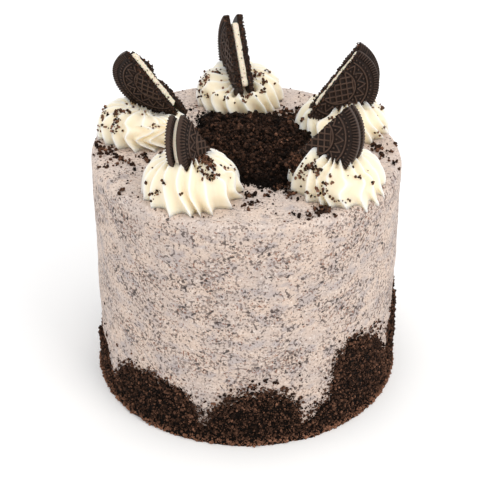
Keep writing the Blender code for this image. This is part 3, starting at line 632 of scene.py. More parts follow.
def coat_edge(azimuth):
    """Height of the crumb coat's upper edge at an array of azimuths in degrees.

    It is the highest arch there, two quarters of an ellipse over the coat's base, plus a slow
    wander.
    """
    height = np.full(np.shape(azimuth), COAT_BASE)
    for middle, left, right, arch in ARCHES:
        off = past_middle(azimuth, middle)
        rise = np.sqrt(np.clip(1 - (off / np.where(off < 0, left, right)) ** 2, 0, 1))
        height = np.maximum(height, COAT_BASE + (arch * MM - COAT_BASE) * rise)
    return height + EDGE_WANDER * np.interp(azimuth % 360, np.arange(361), COAT_WANDER)


def slow_wander(height, size):
    """A slow wander round the cake, one value from about -1 to 1 for each whole degree."""
    values = []
    for degree in range(361):
        angle = math.radians(degree)
        spot = Vector((math.cos(angle), math.sin(angle), height)) / size
        values.append(noise.noise(spot) * 1.6)
    return values


COAT_WANDER = slow_wander(0.3, 0.09)
HEAP_RING = slow_wander(2.0, 0.3)


def coat_slope(azimuth):
    """How steep the coat's edge is: its rise for each step of that size round the cake."""
    step = 0.75
    rise = coat_edge(azimuth + step) - coat_edge(azimuth - step)
    return rise / (2 * math.radians(step) * CAKE_RADIUS)


def side_spot(azimuth, height):
    """Points on the drum's plain side, at an azimuth in degrees and a height."""
    angle = np.radians(azimuth)
    return stack(CAKE_RADIUS * np.cos(angle), CAKE_RADIUS * np.sin(angle), height)


def side_marks(spot):
    """How far the spatula left the side in or out at an array of points: three sizes of noise."""
    marks = rough(spot * (0.22, 0.22, 1), (0.22, 3.2, 1))
    marks = marks + rough(spot * (0.5, 0.5, 1), (0.3, 12, 2)) + rough(spot, (0.5, 40, 3))
    return marks * fade(spot[..., 2], 0, 3 * MM) * MM


def coat_cover(azimuth, height):
    """How far a place on the side lies inside the coat's ragged edge. It is negative outside.

    The way to the edge is the height under it divided by sqrt(1 + slope^2). A gap takes its
    depth times exp(-across^2 - above^2) off it, and three sizes of noise make it ragged.
    """
    spot = side_spot(azimuth, height)
    ragged = rough(spot, (1.4, 1.4, 14), (1.8, 2.6, 6), (1.8, 6, 7))
    inside = (coat_edge(azimuth) - height) / np.sqrt(1 + coat_slope(azimuth) ** 2)
    for middle, up, width, rise in COAT_GAPS:
        across = np.radians(past_middle(azimuth, middle)) * CAKE_RADIUS / (width * MM)
        above = (height / MM - up) / rise
        inside = inside - COAT_GAP_DEPTH * np.exp(-across ** 2 - above ** 2)
    return inside + ragged * MM * fade(height, 3 * MM, 10 * MM)


def coat_lift(azimuth, height):
    """How far the coat's shell stands out from the drum's plain side.

    It is sunk in the frosting where it is bare, and elsewhere it is its bumpy thickness over the
    spatula marks, and more at the foot.
    """
    spot = side_spot(azimuth, height)
    shown = fade(coat_cover(azimuth, height), -0.4 * MM, 0.9 * MM)
    thick = COAT_THICKNESS * (1 + rough(spot, (0.6, 1.8, 8), (0.3, 5, 17)))
    thick = thick + FOOT_EXTRA * fade(FOOT_HEIGHT - height, 0, 4 * MM)
    return side_marks(spot) - COAT_SUNK + (COAT_SUNK + thick) * shown


def make_frosting(settings):
    """The frosted drum: a flat top, a rounded edge and an upright side, with spatula marks.

    A point's radius and height follow the profile of the drum. The marks push it in and out by
    noise that is drawn out round the cake, and the whole is sheared to the slope of the top.
    """
    turn = np.linspace(0, math.tau, DRUM_COLUMNS, endpoint=False)
    flat = np.linspace(3 * MM, CAKE_RADIUS - EDGE_ROUNDING, 26)
    lift = np.linspace(math.pi / 2, 0, 9)[1:]
    side = np.arange(CAKE_HEIGHT - EDGE_ROUNDING - SIDE_ROW, 0, -SIDE_ROW)
    radius = np.concatenate([
        flat, CAKE_RADIUS - EDGE_ROUNDING * (1 - np.cos(lift)), np.full(len(side) + 1, CAKE_RADIUS),
        [CAKE_RADIUS / 2],
    ])
    height = np.concatenate([
        np.full(len(flat), CAKE_HEIGHT), CAKE_HEIGHT - EDGE_ROUNDING * (1 - np.sin(lift)), side,
        [0, 0],
    ])
    upright = fade(CAKE_HEIGHT - height, 0, EDGE_ROUNDING)[:, None]
    base = stack(radius[:, None] * np.cos(turn), radius[:, None] * np.sin(turn), height[:, None])
    strokes = rough(base * (1, 0.4, 1), (0.25, 6, 4)) + rough(base, (0.3, 18, 5))
    out = stack(np.cos(turn), np.sin(turn), 0 * turn)[None]
    points = base + out * (side_marks(base) * upright)[..., None]
    points[..., 2] += strokes * (1 - upright) * MM
    points[..., 2] *= top_height(points[..., 0]) / CAKE_HEIGHT
    poles = [(0, 0, CAKE_HEIGHT), (0, 0, 0)]
    verts, faces = skin(points, poles)
    new_piece("frosting", verts, faces, speckled_buttercream(settings), "frosting", ["cake"])


def make_coat(settings, material):
    """The crumb coat: a bumpy dark shell all round the side, with loose crumbs on it.

    The shell's outer wall is the drum's radius plus its lift, and its inner wall lies inside
    the frosting.
    """
    azimuth = np.linspace(0, 360, COAT_COLUMNS, endpoint=False)
    height = np.linspace(COAT_TOP, 0, COAT_ROWS)[:, None]
    azimuth, height = np.broadcast_arrays(azimuth, height)
    outer = lifted(azimuth, height, coat_lift(azimuth, height))
    inner = lifted(azimuth[[-1, 0]], height[[-1, 0]], -2 * MM)
    verts, faces = skin(np.concatenate([outer, inner]))
    # The shell has no tone, so it takes the darkest crumb colour: the crumbs' own cocoa and painted
    # shade in the gaps between the loose crumbs
    new_piece("crumb_coat", verts, faces, material, "crumbs")
    draw = np.random.default_rng(31)
    scatter_on_side("coat_crumbs", settings.coat_crumbs, (0.4, 0.95), SIDE_CLUMPS, draw, material)
    scatter_on_side("coat_grains", settings.coat_grains, (0.22, 0.55), (), draw, material, octahedron)


def near_coat_edge(count, draw):
    """Places on both sides of the coat's upper edge, spread evenly along it.

    Each lies a normal deviate away from the edge, both along and across the side.
    """
    azimuth = np.linspace(0, 360, 1441)
    length = np.cumsum(np.sqrt(1 + coat_slope(azimuth) ** 2))
    along = np.interp(draw.uniform(0, length[-1], count), length, azimuth)
    across, up = draw.normal(size=(2, count)) * draw.uniform(0.8, 3.6, count) * MM
    return along + np.degrees(across / CAKE_RADIUS), coat_edge(along) + up


def lifted(azimuth, height, lift):
    """Points that stand out from the drum's plain side by this much."""
    out = 1 + lift / CAKE_RADIUS
    return side_spot(azimuth, height) * stack(out, out, 1.0)


def scatter_on_side(name, count, sizes, clumps, draw, material, solid=icosahedron):
    """Loose crumbs: all over the coat, ever fewer past its edge, and in clumps of their own.

    Past the edge the chance of one falls by exp(-past / 2.2 mm) in patches, more slowly in the
    lowest 24 mm, where single crumbs are sprinkled. Half as many again lie along the edge.
    """
    azimuth = draw.uniform(0, 360, TRIES * count)
    height = draw.uniform(0, 1, TRIES * count) * COAT_TOP
    past = -coat_cover(azimuth, height)
    spot = side_spot(azimuth, height)
    patchy = fade(perlin(spot, 3 * MM, 15), -0.3, 0.7)
    chance = patchy * (0.9 * np.exp(-past / (2.2 * MM)) + 0.06 * np.exp(-past / (8 * MM)))
    sprinkled = fade(perlin(spot, 2 * MM, 16), -0.3, 0.4) * fade(24 * MM - height, 0, 8 * MM)
    chance = chance + 0.8 * sprinkled * np.exp(-past / (6 * MM))
    kept = draw.uniform(size=len(past)) < np.where(past < 0, 1.0, chance)
    azimuth, height = azimuth[kept][:count], height[kept][:count]
    edge_azimuth, edge_height = near_coat_edge(count // 2, draw)
    azimuth = np.concatenate([azimuth, edge_azimuth])
    height = np.concatenate([height, np.maximum(edge_height, 0)])
    for middle, up, spread, pieces in clumps:
        across = draw.normal(size=pieces) * np.degrees(spread * MM / CAKE_RADIUS)
        azimuth = np.concatenate([azimuth, middle + across])
        height = np.concatenate([height, (up + draw.normal(size=pieces) * spread) * MM])
    size = draw.uniform(*sizes, len(azimuth)) * MM
    lift = np.maximum(coat_lift(azimuth, height), -0.1 * MM) + 0.35 * size
    centres = lifted(azimuth, np.maximum(height, 0.8 * size), lift)
    tones = draw.beta(1.1, 6.0, len(size)) + 0.5 * fade(FOOT_HEIGHT - height, 0, 5 * MM)
    new_crumbs(name, centres, size, tones, draw, material, solid)


def heap_outline(angle):
    """Distance from the middle to the heap's edge at an array of angles."""
    reach = HEAP_RADIUS + HEAP_WANDER * np.interp(np.degrees(angle) % 360, np.arange(361), HEAP_RING)
    for azimuth, width, out in HEAP_BULGES:
        reach = reach + out * MM * hump(past_middle(np.degrees(angle), azimuth), width)
    return reach


def heap_height(x, y):
    """Height of the heap's core over the top: a low dome with bumps of a crumb's size."""
    away = np.hypot(x, y)
    dome = HEAP_RIM + (HEAP_HEIGHT - HEAP_RIM) * (1 - np.clip(away / HEAP_RADIUS, 0, 1) ** 2)
    spot = stack(x, y, 0 * x)
    bumps = rough(spot, (2.2, 4.2, 10), (1.3, 2.2, 11))
    ragged = rough(spot, (1.6, 4, 12))
    edge = heap_outline(np.arctan2(y, x)) + (ragged - 2.5) * MM
    return (dome + bumps * MM) * fade(edge - away, -0.5 * MM, 2.5 * MM)


def make_heap(settings, material):
    """The heap: a dark bumpy core in rings of a share of its outline, and crumbs all over it."""
    turn = np.linspace(-math.pi, math.pi, HEAP_COLUMNS, endpoint=False)
    share = np.linspace(1 / HEAP_ROWS, 1, HEAP_ROWS)[:, None]
    reach = share * (heap_outline(turn) - 2 * MM)
    x, y = reach * np.cos(turn), reach * np.sin(turn)
    rows = stack(x, y, top_height(x) - HEAP_SUNK + heap_height(x, y))
    foot = rows[-1:] - (0, 0, 0.6 * MM)
    peak = CAKE_HEIGHT + heap_height(np.zeros(1), np.zeros(1))[0]
    verts, faces = skin(np.concatenate([rows, foot]), [(0, 0, peak), (0, 0, CAKE_HEIGHT - 1 * MM)])
    # The core has no tone, so it takes the darkest crumb colour: the crumbs' own cocoa and painted
    # shade in the gaps between the crumbs
    new_piece("heap_core", verts, faces, material, "crumbs", ["crumb_heap"])

    draw = np.random.default_rng(37)
    scatter_on_heap("heap_crumbs", settings.heap_crumbs, (0.45, 1.5), draw, material)
    scatter_on_heap("heap_grains", settings.heap_grains, (0.28, 0.65), draw, material, octahedron)


def scatter_on_heap(name, count, sizes, draw, material, solid=icosahedron):
    """Loose crumbs all over the heap and ever fewer past its edge, mostly small ones."""
    x, y = draw.uniform(-54, 54, (2, TRIES * count)) * MM
    past = np.hypot(x, y) - heap_outline(np.arctan2(y, x))
    past = past + 1.6 * MM * perlin(stack(x, y, 0.0), 4 * MM, 12)
    chance = np.where(past < -2 * MM, 1.0, 0.8 * np.exp(-(past + 2 * MM) / (1.8 * MM)))
    kept = (draw.uniform(size=len(x)) < chance) & clear_of_cream(x, y, -2.5 * MM)
    x, y = x[kept][:count], y[kept][:count]
    size = (sizes[0] + (sizes[1] - sizes[0]) * draw.beta(1.2, 3.5, len(x))) * MM
    lift = np.maximum(heap_height(x, y) - HEAP_SUNK, 0) + draw.uniform(0.1, 0.8, len(x)) * size
    # Painted shade: crumbs lower in the heap are darker, for the shade of the crumbs over them
    tones = draw.beta(0.9, 9.0, len(size)) * fade(lift, 1 * MM, 7 * MM)
    centres = stack(x, y, top_height(x) + lift)
    new_crumbs(name, centres, size, tones, draw, material, solid)


def clear_of_cream(x, y, room):
    """Whether places on the top keep this much room to the rosettes."""
    clear = np.ones(np.shape(x), bool)
    for middle_x, middle_y, radius, _ in ROSETTES.values():
        clear &= np.hypot(x - middle_x * MM, y - middle_y * MM) > radius * MM + room
    return clear


def make_top_crumbs(settings, material):
    """Crumbs in clumps and singly on the top, each sunk a little in the frosting."""
    draw = np.random.default_rng(43)
    spots = []
    for x, y, spread, pieces in TOP_CLUMPS:
        away = draw.normal(size=(pieces, 2)) * spread
        size = draw.uniform(0.4, 1.15, pieces)
        spots.append(np.column_stack([x + away[:, 0], y + away[:, 1], size]))
    angle = draw.uniform(0, math.tau, settings.stray_crumbs)
    reach = 79 * np.sqrt(draw.uniform(0.2, 1, settings.stray_crumbs))
    size = draw.uniform(0.22, 0.6, settings.stray_crumbs)
    spots.append(np.column_stack([reach * np.cos(angle), reach * np.sin(angle), size]))
    x, y, size = np.concatenate(spots).T * MM
    kept = (np.hypot(x, y) < CAKE_RADIUS - 0.5 * MM) & clear_of_cream(x, y, -1.5 * MM)
    x, y, size = x[kept], y[kept], size[kept]
    lift = size * draw.uniform(0.2, 0.9, len(size))
    centres = stack(x, y, top_surface(x, y) + lift)
    tones = draw.beta(1.0, 5.5, len(size))
    new_crumbs("top_crumbs", centres, size, tones, draw, material)


def rosette_skin(place, turn, climb):
    """Points of a rosette's skin and how near each lies to a crest, 1 on it and 0 between two.

    turn goes once round, and climb goes from 0 at the foot to 1 at the top. The reach is the
    radius times cos^0.95 of the climb's angle and the height is sin^0.6 of it. The hollows
    between the crests follow |sin| of the turn. Crests swing aside by sin(pi climb^0.75), fold to
    and fro in places, flare out at the foot, more where it has a tip, and rise to small peaks
    where they meet the biscuit. A dent takes a share of the height by exp(-d^2), or adds one.
    The foot follows the cake's edge.
    """
    middle_x, middle_y, radius, tall = (value * MM for value in ROSETTES[place])
    phase = ROSETTE_PHASE * list(ROSETTES).index(place)
    lift = climb * math.pi / 2
    reach = radius * np.maximum(np.cos(lift), 0) ** 0.95
    height = tall * np.sin(lift) ** 0.6
    hollow = np.abs(np.sin(RIBS * turn / 2))
    foot = FOOT_DEPTH * SOFT_FEET.get(place, 1.0)
    depth = RIB_DEPTH * (1 - 0.5 * climb) + foot * (1 - climb) ** 5
    depth = depth * hollow * (1 + 0.2 * np.sin(3 * turn + phase))
    tip = RIB_TIP
    for middle, width, size in TIPS.get(place, ()):
        tip = tip + size * MM * hump(past_middle(np.degrees(turn), middle), width)
    reach = reach + tip * (1 - hollow) * (1 - climb) ** 6 - depth * np.cos(lift)
    height = height - np.minimum(depth * np.sin(lift), height)
    swing = np.sin(math.pi * climb ** 0.75) * (1 + 0.5 * np.sin(2 * turn + phase))
    angle = turn - RIB_SWING * SWINGS.get(place, 1.0) * swing + RIB_KICK * (1 - climb) ** 6
    angle = angle + 0.05 * np.sin(5 * turn + 2 * phase) + 0.04 * np.sin(3 * turn - phase)
    angle = angle + 0.05 * np.sin(4 * turn + 7 * climb + 3 * phase)
    for middle, width, size in FOLDS.get(place, ()):
        to_and_fro = np.sin(math.tau * np.minimum(climb / FOLD_CLIMB, 1))
        angle = angle - size * hump(past_middle(np.degrees(turn), middle), width) * to_and_fro
    x = middle_x + reach * np.cos(angle)
    y = middle_y + reach * np.sin(angle)
    for dent_x, dent_y, spread, share in DENTS.get(place, ()):
        away = np.hypot(x - middle_x - dent_x * MM, y - middle_y - dent_y * MM)
        height = height * (1 - share * hump(away, spread * MM))
    drape = top_surface(x, y) - top_height(x)
    points = stack(x, y, top_height(x) + height + drape * (1 - climb) ** 2)
    pose = np.array(biscuit_pose(place))
    local = (points - pose[:3, 3]) @ pose[:3, :3]
    beside = np.abs(local[..., 2]) - (WAFER_LEVEL + WAFER_THICKNESS)
    near = fade(3.5 * MM - beside, 0, 3.3 * MM) * (beside > -1 * MM)
    near = near * fade(24 * MM - np.hypot(local[..., 0], local[..., 1]), 0, 3 * MM)
    near = near * fade(local[..., 1], -2 * MM, 2 * MM)
    near = near * fade(reach, 5 * MM, 12 * MM)
    points[..., 2] += PEAK_HEIGHT * near * (0.45 - hollow) * fade(climb, 0.1, 0.3)
    return points, 1 - hollow


def make_rosette(place, material):
    """One piped rosette, from its top ring down to its foot."""
    turn = np.linspace(0, math.tau, RIBS * RIB_COLUMNS, endpoint=False)
    climb = np.linspace(0.985, 0, RIB_ROWS)[:, None]
    rows, crest = rosette_skin(place, turn, climb)
    middle_x, middle_y = (value * MM for value in ROSETTES[place][:2])
    peak = rows[0].mean(axis=0)
    poles = [peak, (middle_x, middle_y, top_height(middle_x) - 0.5 * MM)]
    verts, faces = skin(rows, poles)
    # The crest attribute, cubed, says where the cream's painted light goes from the hollows' colour
    # to the crests'
    crest = np.concatenate([np.broadcast_to(crest, rows.shape[:2]).ravel() ** 3, [0, 0]])
    new_piece("cream_" + place, verts, faces, material, "cream", ["rosette_" + place], crest=crest)


def make_cream_crumbs(material):
    """Crumbs on the rosettes, in clumps and singly."""
    draw = np.random.default_rng(47)
    centres = []
    for place, clumps in CREAM_CLUMPS.items():
        for degrees, climb, spread, pieces in clumps:
            turn = math.radians(degrees) + draw.normal(size=pieces) * spread / CREAM_TURN
            up = np.clip(climb + draw.normal(size=pieces) * spread / CREAM_CLIMB, 0.03, 0.97)
            centres.append(rosette_skin(place, turn, up)[0])
        turn = draw.uniform(0, math.tau, SINGLE_CRUMBS)
        up = draw.uniform(0.05, 0.95, SINGLE_CRUMBS)
        centres.append(rosette_skin(place, turn, up)[0])
    centres = np.concatenate(centres)
    size = draw.uniform(0.3, 0.95, len(centres)) * MM
    centres[:, 2] += 0.35 * size
    tones = draw.beta(1.4, 3.6, len(size))
    new_crumbs("cream_crumbs", centres, size, tones, draw, material)


def biscuit_pose(place):
    """Placing of a half biscuit: X up along the broken edge, Y to the middle of the rim."""
    middle, compass, rise, lean = BISCUITS[place]
    compass, rise, lean = (math.radians(angle) for angle in (compass, rise, lean))
    level = Vector((math.cos(compass), math.sin(compass), 0))
    aside = Vector((math.sin(compass), -math.cos(compass), 0))
    upright = Vector((0, 0, math.cos(lean))) + aside * math.sin(lean)
    along = level * math.cos(rise) + upright * math.sin(rise)
    across = level * math.sin(rise) - upright * math.cos(rise)
    turned = Matrix((along, across, along.cross(across))).transposed()
    return Matrix.Translation(Vector(middle) * MM) @ turned.to_4x4()


def placed(place, local):
    """Local points of a biscuit as points of the cake."""
    pose = np.array(biscuit_pose(place))
    return local @ pose[:3, :3].T + pose[:3, 3]


def half_disc(radius, corner, count, extra=0.0):
    """Outline of half a disc with rounded corners, and its outward directions.

    The arc lies at +Y and the straight edge on Y = -extra. The points stand at even steps along
    it, counterclockwise.
    """
    up = corner - extra
    start = math.asin(up / (radius - corner))
    away = math.sqrt((radius - corner) ** 2 - up ** 2)
    arc = np.linspace(start, math.pi - start, 900)
    left = np.linspace(math.pi - start, 1.5 * math.pi, 60)
    right = np.linspace(-0.5 * math.pi, start, 60)
    flat = np.linspace(-away, away, 600)
    arc, left, right = (np.column_stack([np.cos(t), np.sin(t)]) for t in (arc, left, right))
    edge = np.column_stack([flat, 0 * flat - extra])
    points = [radius * arc, (-away, up) + corner * left, edge, (away, up) + corner * right]
    points = np.concatenate(points)
    outward = np.concatenate([arc, left, np.column_stack([0 * flat, 0 * flat - 1]), right])
    steps = np.linalg.norm(np.diff(points, axis=0), axis=1)
    length = np.concatenate([[0], np.cumsum(steps)])
    even = np.linspace(0, length[-1], count, endpoint=False)
    pick = [np.interp(even, length, column) for column in (*points.T, *outward.T)]
    return np.column_stack(pick[:2]), np.column_stack(pick[2:])


def wafer_relief(x, y):
    """Height of the wafer's relief, from 0 on its floor to 1, at arrays of places in metres.

    A plain geometric pattern: a notched band along the rim, a ring of beads, a zigzag between two
    rings, and a lattice in the middle. Each line is a rounded ridge round a distance of 0.
    """
    away = np.hypot(x, y) / MM
    turn = np.arctan2(y, x)
    rim = BISCUIT_RADIUS / MM
    band = fade(away, rim - WAFER_BAND / MM - 0.3, rim - WAFER_BAND / MM + 0.1)
    notch = ridge(((turn * NOTCHES / math.tau) % 1 - 0.5), 0.4) * fade(rim - away, 0.1, 0.5)
    relief = band * (1 - 0.9 * notch)
    bead_ring, beads = 17.4, 50
    along = ((turn * beads / math.tau) % 1 - 0.5) * math.tau / beads * away
    relief = np.maximum(relief, 0.9 * ridge(np.hypot(along, away - bead_ring), 0.85))
    relief = np.maximum(relief, ridge(away - 15.7, 0.65))
    teeth, middle, swing = 15, 12.5, 1.9
    zigzag = middle + swing * (4 * np.abs((turn * teeth / math.tau) % 1 - 0.5) - 1)
    relief = np.maximum(relief, ridge((away - zigzag) * 0.6, 0.6))
    for offset, ring in ((0.0, middle + 1.6), (0.5, middle - 1.6)):
        along = ((turn * teeth / math.tau + offset) % 1 - 0.5) * math.tau / teeth * away
        relief = np.maximum(relief, 0.9 * ridge(np.hypot(along, away - ring), 0.9))
    relief = np.maximum(relief, ridge(away - 9.2, 0.65))
    pitch = 3.2
    for diagonal in (x + y, x - y):
        off = ((diagonal / MM / math.sqrt(2) / pitch) % 1 - 0.5) * pitch
        relief = np.maximum(relief, ridge(off, 0.65) * fade(8.9 - away, 0, 0.3))
    return relief


def break_line(breaks, x):
    """How far in from the disc's middle line the broken edge lies, at places along it."""
    depth = 0 * x
    for middle, width, size in breaks:
        depth = depth + size * MM * hump(x / MM - middle, width)
    return depth


def torn_outline(outline, outward, torn, *layers):
    """An outline pushed in and out by layers of noise where it is torn."""
    push = rough(stack(*outline.T, 0.0), *layers) * torn * MM
    return outline + outward * push[:, None]


def wafer_state(place, side):
    """A wafer's slip along the broken edge, its slope from standing open, and its breaks."""
    if side > 0:
        return 0.0, math.tan(math.radians(SPLAYED.get(place, 0.0))), ()
    return SLIPPED.get(place, 0.0), 0.0, BROKEN.get(place, ())


def make_wafer(place, side, material):
    """Half a wafer: its face in rings round a middle, its rounded rim, its wall and its back.

    A face point is the middle plus a share of the way to the outline. Its height is the floor's
    plus the relief. The wall's rows go down by shares of that height. Noise tears the straight
    edge. side is 1 for wafer a and -1 for wafer b.
    """
    slip, slope, breaks = wafer_state(place, side)
    seed = 100 + 2 * list(BISCUITS).index(place) + (side > 0)
    extra = BIGGER_HALVES.get(place, 0.0)
    outline, outward = half_disc(BISCUIT_RADIUS, BISCUIT_CORNER, WAFER_LOOP, extra)
    broken = np.maximum(outline[:, 1], break_line(breaks, outline[:, 0]) - extra)
    torn = np.maximum(fade(-outward[:, 1], 0.3, 0.9), fade(broken - outline[:, 1], 0, 0.5 * MM))
    outline[:, 1] = broken
    outline = torn_outline(outline, outward, torn, (0.55, 4.5, seed), (0.4, 1.5, seed + 20))
    middle = np.array((0, HALF_MIDDLE * BISCUIT_RADIUS))
    rounding = RIM_ROUNDING * (1 - 0.7 * torn)[:, None]
    inner = outline - outward * rounding
    shares = np.linspace(1 / WAFER_RINGS, 1, WAFER_RINGS)[:, None, None]
    rings = middle + (inner - middle)[None] * shares
    proud = WAFER_THICKNESS - WAFER_FLOOR
    face = WAFER_FLOOR + proud * wafer_relief(rings[..., 0], rings[..., 1])
    rows = [np.dstack([rings, face])]
    crown = face[-1]
    wall = []
    for angle in np.radians((25, 55, 90)):
        drop = rounding[:, 0] * (1 - math.cos(angle))
        wall.append(stack(*(outline - outward * rounding * (1 - math.sin(angle))).T, crown - drop))
    for share in np.linspace(0.7, 0.12, 6):
        wall.append(stack(*outline.T, crown * share))
    for ring in wall:
        ragged = 0.5 * perlin(ring, 1.3 * MM, seed + 40) * torn
        notch = 0.08 * np.sin(NOTCHES * np.arctan2(ring[:, 1], ring[:, 0]) / 2) ** 2 * (1 - torn)
        ring[:, :2] += outward * ((ragged - notch) * MM)[:, None]
        rows.append(ring[None])
    for share, inset in ((1.0, 0.3 * MM), (0.6, 0.0)):
        ring = middle + (outline - outward * inset - middle) * share
        rows.append(stack(*ring.T, 0.0)[None])
    rows = np.concatenate(rows)
    peak = WAFER_FLOOR + proud * wafer_relief(*middle[:, None])[0]
    points, faces = skin(rows, [(*middle, peak), (*middle, 0)])
    relief = wafer_relief(points[:, 0], points[:, 1])
    # The wall takes less of the relief's painted highlight
    relief[WAFER_RINGS * WAFER_LOOP:-2] *= WALL_SHADE
    worn = np.zeros(rows.shape[:2])
    worn[WAFER_RINGS - 1:] = torn
    worn = np.append(worn, [0, 0])
    if side < 0:
        faces = [group[:, ::-1] for group in faces]
    level = WAFER_LEVEL + points[:, 2] + slope * (points[:, 0] + BISCUIT_RADIUS)
    local = stack(points[:, 0] - slip, points[:, 1], side * level)
    letter = "a" if side > 0 else "b"
    new_piece(
        f"wafer_{place}_{letter}", placed(place, local), faces, material, "wafer",
        [f"biscuit_{place}_wafer_{letter}"], relief=relief, torn=worn,
    )


def make_filling(place, material):
    """The filling: half a disc with a bulging, torn edge, in rings from its face to its back."""
    radius = WIDE_FILLINGS.get(place, FILLING_RADIUS)
    extra = BIGGER_HALVES.get(place, 0.0)
    outline, outward = half_disc(radius, FILLING_CORNER, FILLING_LOOP, extra)
    torn = fade(-outward[:, 1], 0.3, 0.9)
    seed = 160 + list(BISCUITS).index(place)
    outline = torn_outline(outline, outward, torn, (0.3, 5, seed), (0.2, 1.4, seed + 20))
    middle = np.array((0, HALF_MIDDLE * radius))
    half = WAFER_LEVEL
    inner = [middle + (outline - middle) * share for share in (0.5, 0.9)]
    rows = [stack(*ring.T, half) for ring in inner]
    for lift in np.linspace(1, -1, 8):
        ring = stack(*(outline - outward * 0.35 * MM * lift ** 4).T, half * lift)
        ragged = 0.3 * perlin(ring, 1.2 * MM, seed + 40) * torn
        ring[:, :2] += outward * (ragged * MM)[:, None]
        rows.append(ring)
    rows += [stack(*ring.T, -half) for ring in reversed(inner)]
    points, faces = skin(np.array(rows), [(*middle, half), (*middle, -half)])
    new_piece(
        f"filling_{place}", placed(place, points), faces, material, "filling",
        [f"biscuit_{place}_filling"],
    )


def make_biscuit_crumbs(settings, material):
    """Crumbs that cling to the broken edges of the biscuits."""
    draw = np.random.default_rng(53)
    centres = []
    sizes = []
    count = settings.edge_crumbs
    for place in BISCUITS:
        extra = BIGGER_HALVES.get(place, 0.0)
        for side in (-1, 1):
            slip, slope, breaks = wafer_state(place, side)
            x = draw.uniform(-0.97, 0.97, count) * BISCUIT_RADIUS
            z = WAFER_LEVEL + draw.uniform(0.03, 0.95, count) * WAFER_THICKNESS
            y = draw.normal(size=count) * 0.15 * MM
            y = y + break_line(breaks, x) - extra
            z = z + slope * (x + BISCUIT_RADIUS)
            inside = np.hypot(x, y) < BISCUIT_RADIUS
            centres.append(placed(place, stack(x - slip, y, side * z)[inside]))
            sizes.append(draw.uniform(0.2, 0.55, count)[inside])
        for x, y, spread, pieces, side in FACE_CLUMPS.get(place, ()):
            away = draw.normal(size=(pieces, 2)) * spread
            out = WAFER_LEVEL + WAFER_THICKNESS + draw.uniform(-0.2, 0.5, pieces) * MM
            centres.append(placed(place, stack(*((x, y) + away).T * MM, side * out)))
            sizes.append(draw.uniform(0.4, 1.0, pieces))
        x = draw.uniform(-0.9, 0.9, FILLING_CRUMBS) * FILLING_RADIUS
        z = draw.uniform(-1, 1, FILLING_CRUMBS) * WAFER_LEVEL
        centres.append(placed(place, stack(x, -0.1 * MM - extra, z)))
        sizes.append(draw.uniform(0.2, 0.5, FILLING_CRUMBS))
    centres = np.concatenate(centres)
    sizes = np.concatenate(sizes) * MM
    tones = draw.beta(1.2, 6.5, len(sizes))
    new_crumbs("biscuit_crumbs", centres, sizes, tones, draw, material)


def colour_setting(name, description, code):
    """A colour setting with its default given as sRGB hex."""
    return FloatVectorProperty(
        name=name, description=description, subtype="COLOR", size=3, min=0, max=1,
        default=linear(code)[:3],
    )


def count_setting(name, description, count):
    """A setting for a number of crumbs."""
    return IntProperty(name=name, description=description, default=count, min=0)


class CakeSettings(bpy.types.PropertyGroup):
    """Colours and amounts of the cake's finishes."""

    frosting: colour_setting("Frosting", "Colour of the smoothed buttercream", "#CDB8A9")
    frosting_grey: colour_setting("Greyed frosting", "Buttercream with crumb dust in it", "#BDADA4")
    # The darkest crumb colour is darker than the cocoa alone: painted shade for the pits and gaps
    # between crumbs
    crumb: colour_setting("Crumb", "Darkest colour of the crumbs", "#0D0704")
    crumb_light: colour_setting("Light crumb", "Lightest colour of the crumbs", "#A0725A")
    # The two cream colours are painted light: the crests' glow and the light bounced in the hollows
    cream_crest_painted_light: colour_setting("Cream crest", "Cream on the thin crests", "#EEE9DF")
    cream_hollow_painted_light: colour_setting("Cream hollow", "Cream in the hollows", "#F0E4CB")
    wafer: colour_setting("Wafer", "Colour of the wafer's floor", "#211611")
    # Wafer relief is a painted highlight on the tops of the raised lines, not their own colour
    wafer_relief: colour_setting("Wafer relief", "Colour of the wafer's raised lines", "#513E34")
    filling: colour_setting("Filling", "Colour of the biscuit's filling", "#EADFCB")
    coat_crumbs: count_setting("Coat crumbs", "Number of crumbs on the side", 5600)
    coat_grains: count_setting("Coat grains", "Number of small crumbs on the side", 16000)
    heap_crumbs: count_setting("Heap crumbs", "Number of crumbs in the heap", 4800)
    heap_grains: count_setting("Heap grains", "Number of small crumbs in the heap", 11000)
    stray_crumbs: count_setting("Stray crumbs", "Number of single crumbs on the top", 420)
    edge_crumbs: count_setting("Edge crumbs", "Number of crumbs on a wafer's broken edge", 150)


class StageSettings(bpy.types.PropertyGroup):
    """The plain floor and the soft light."""

    floor_size: FloatProperty(
        name="Floor size", description="Width of the floor", default=6.0, unit="LENGTH",
    )
    key_power: FloatProperty(
        name="Key light", description="Power of the large light", default=3.5, unit="POWER",
    )
    sky: FloatProperty(
        name="Sky", description="Strength of the even light from all round", default=1.12,
    )


class CAKE_OT_frosting(bpy.types.Operator):
    """Make the frosted drum"""

    bl_idname = "cake.frosting"
    bl_label = "Frosting"

    def execute(self, context):
        make_frosting(context.scene.cake_settings)
        return {"FINISHED"}


class CAKE_OT_crumbs(bpy.types.Operator):
    """Make the crumb coat, the heap and the loose crumbs"""

    bl_idname = "cake.crumbs"
    bl_label = "Crumbs"

    def execute(self, context):
        settings = context.scene.cake_settings
        material = cocoa_crumb(settings)
        make_coat(settings, material)
        make_heap(settings, material)
        make_top_crumbs(settings, material)
        make_cream_crumbs(material)
        make_biscuit_crumbs(settings, material)
        return {"FINISHED"}


class CAKE_OT_rosettes(bpy.types.Operator):
    """Make the five piped rosettes"""

    bl_idname = "cake.rosettes"
    bl_label = "Rosettes"

    def execute(self, context):
        material = piped_cream(context.scene.cake_settings)
        for place in ROSETTES:
            make_rosette(place, material)
        return {"FINISHED"}


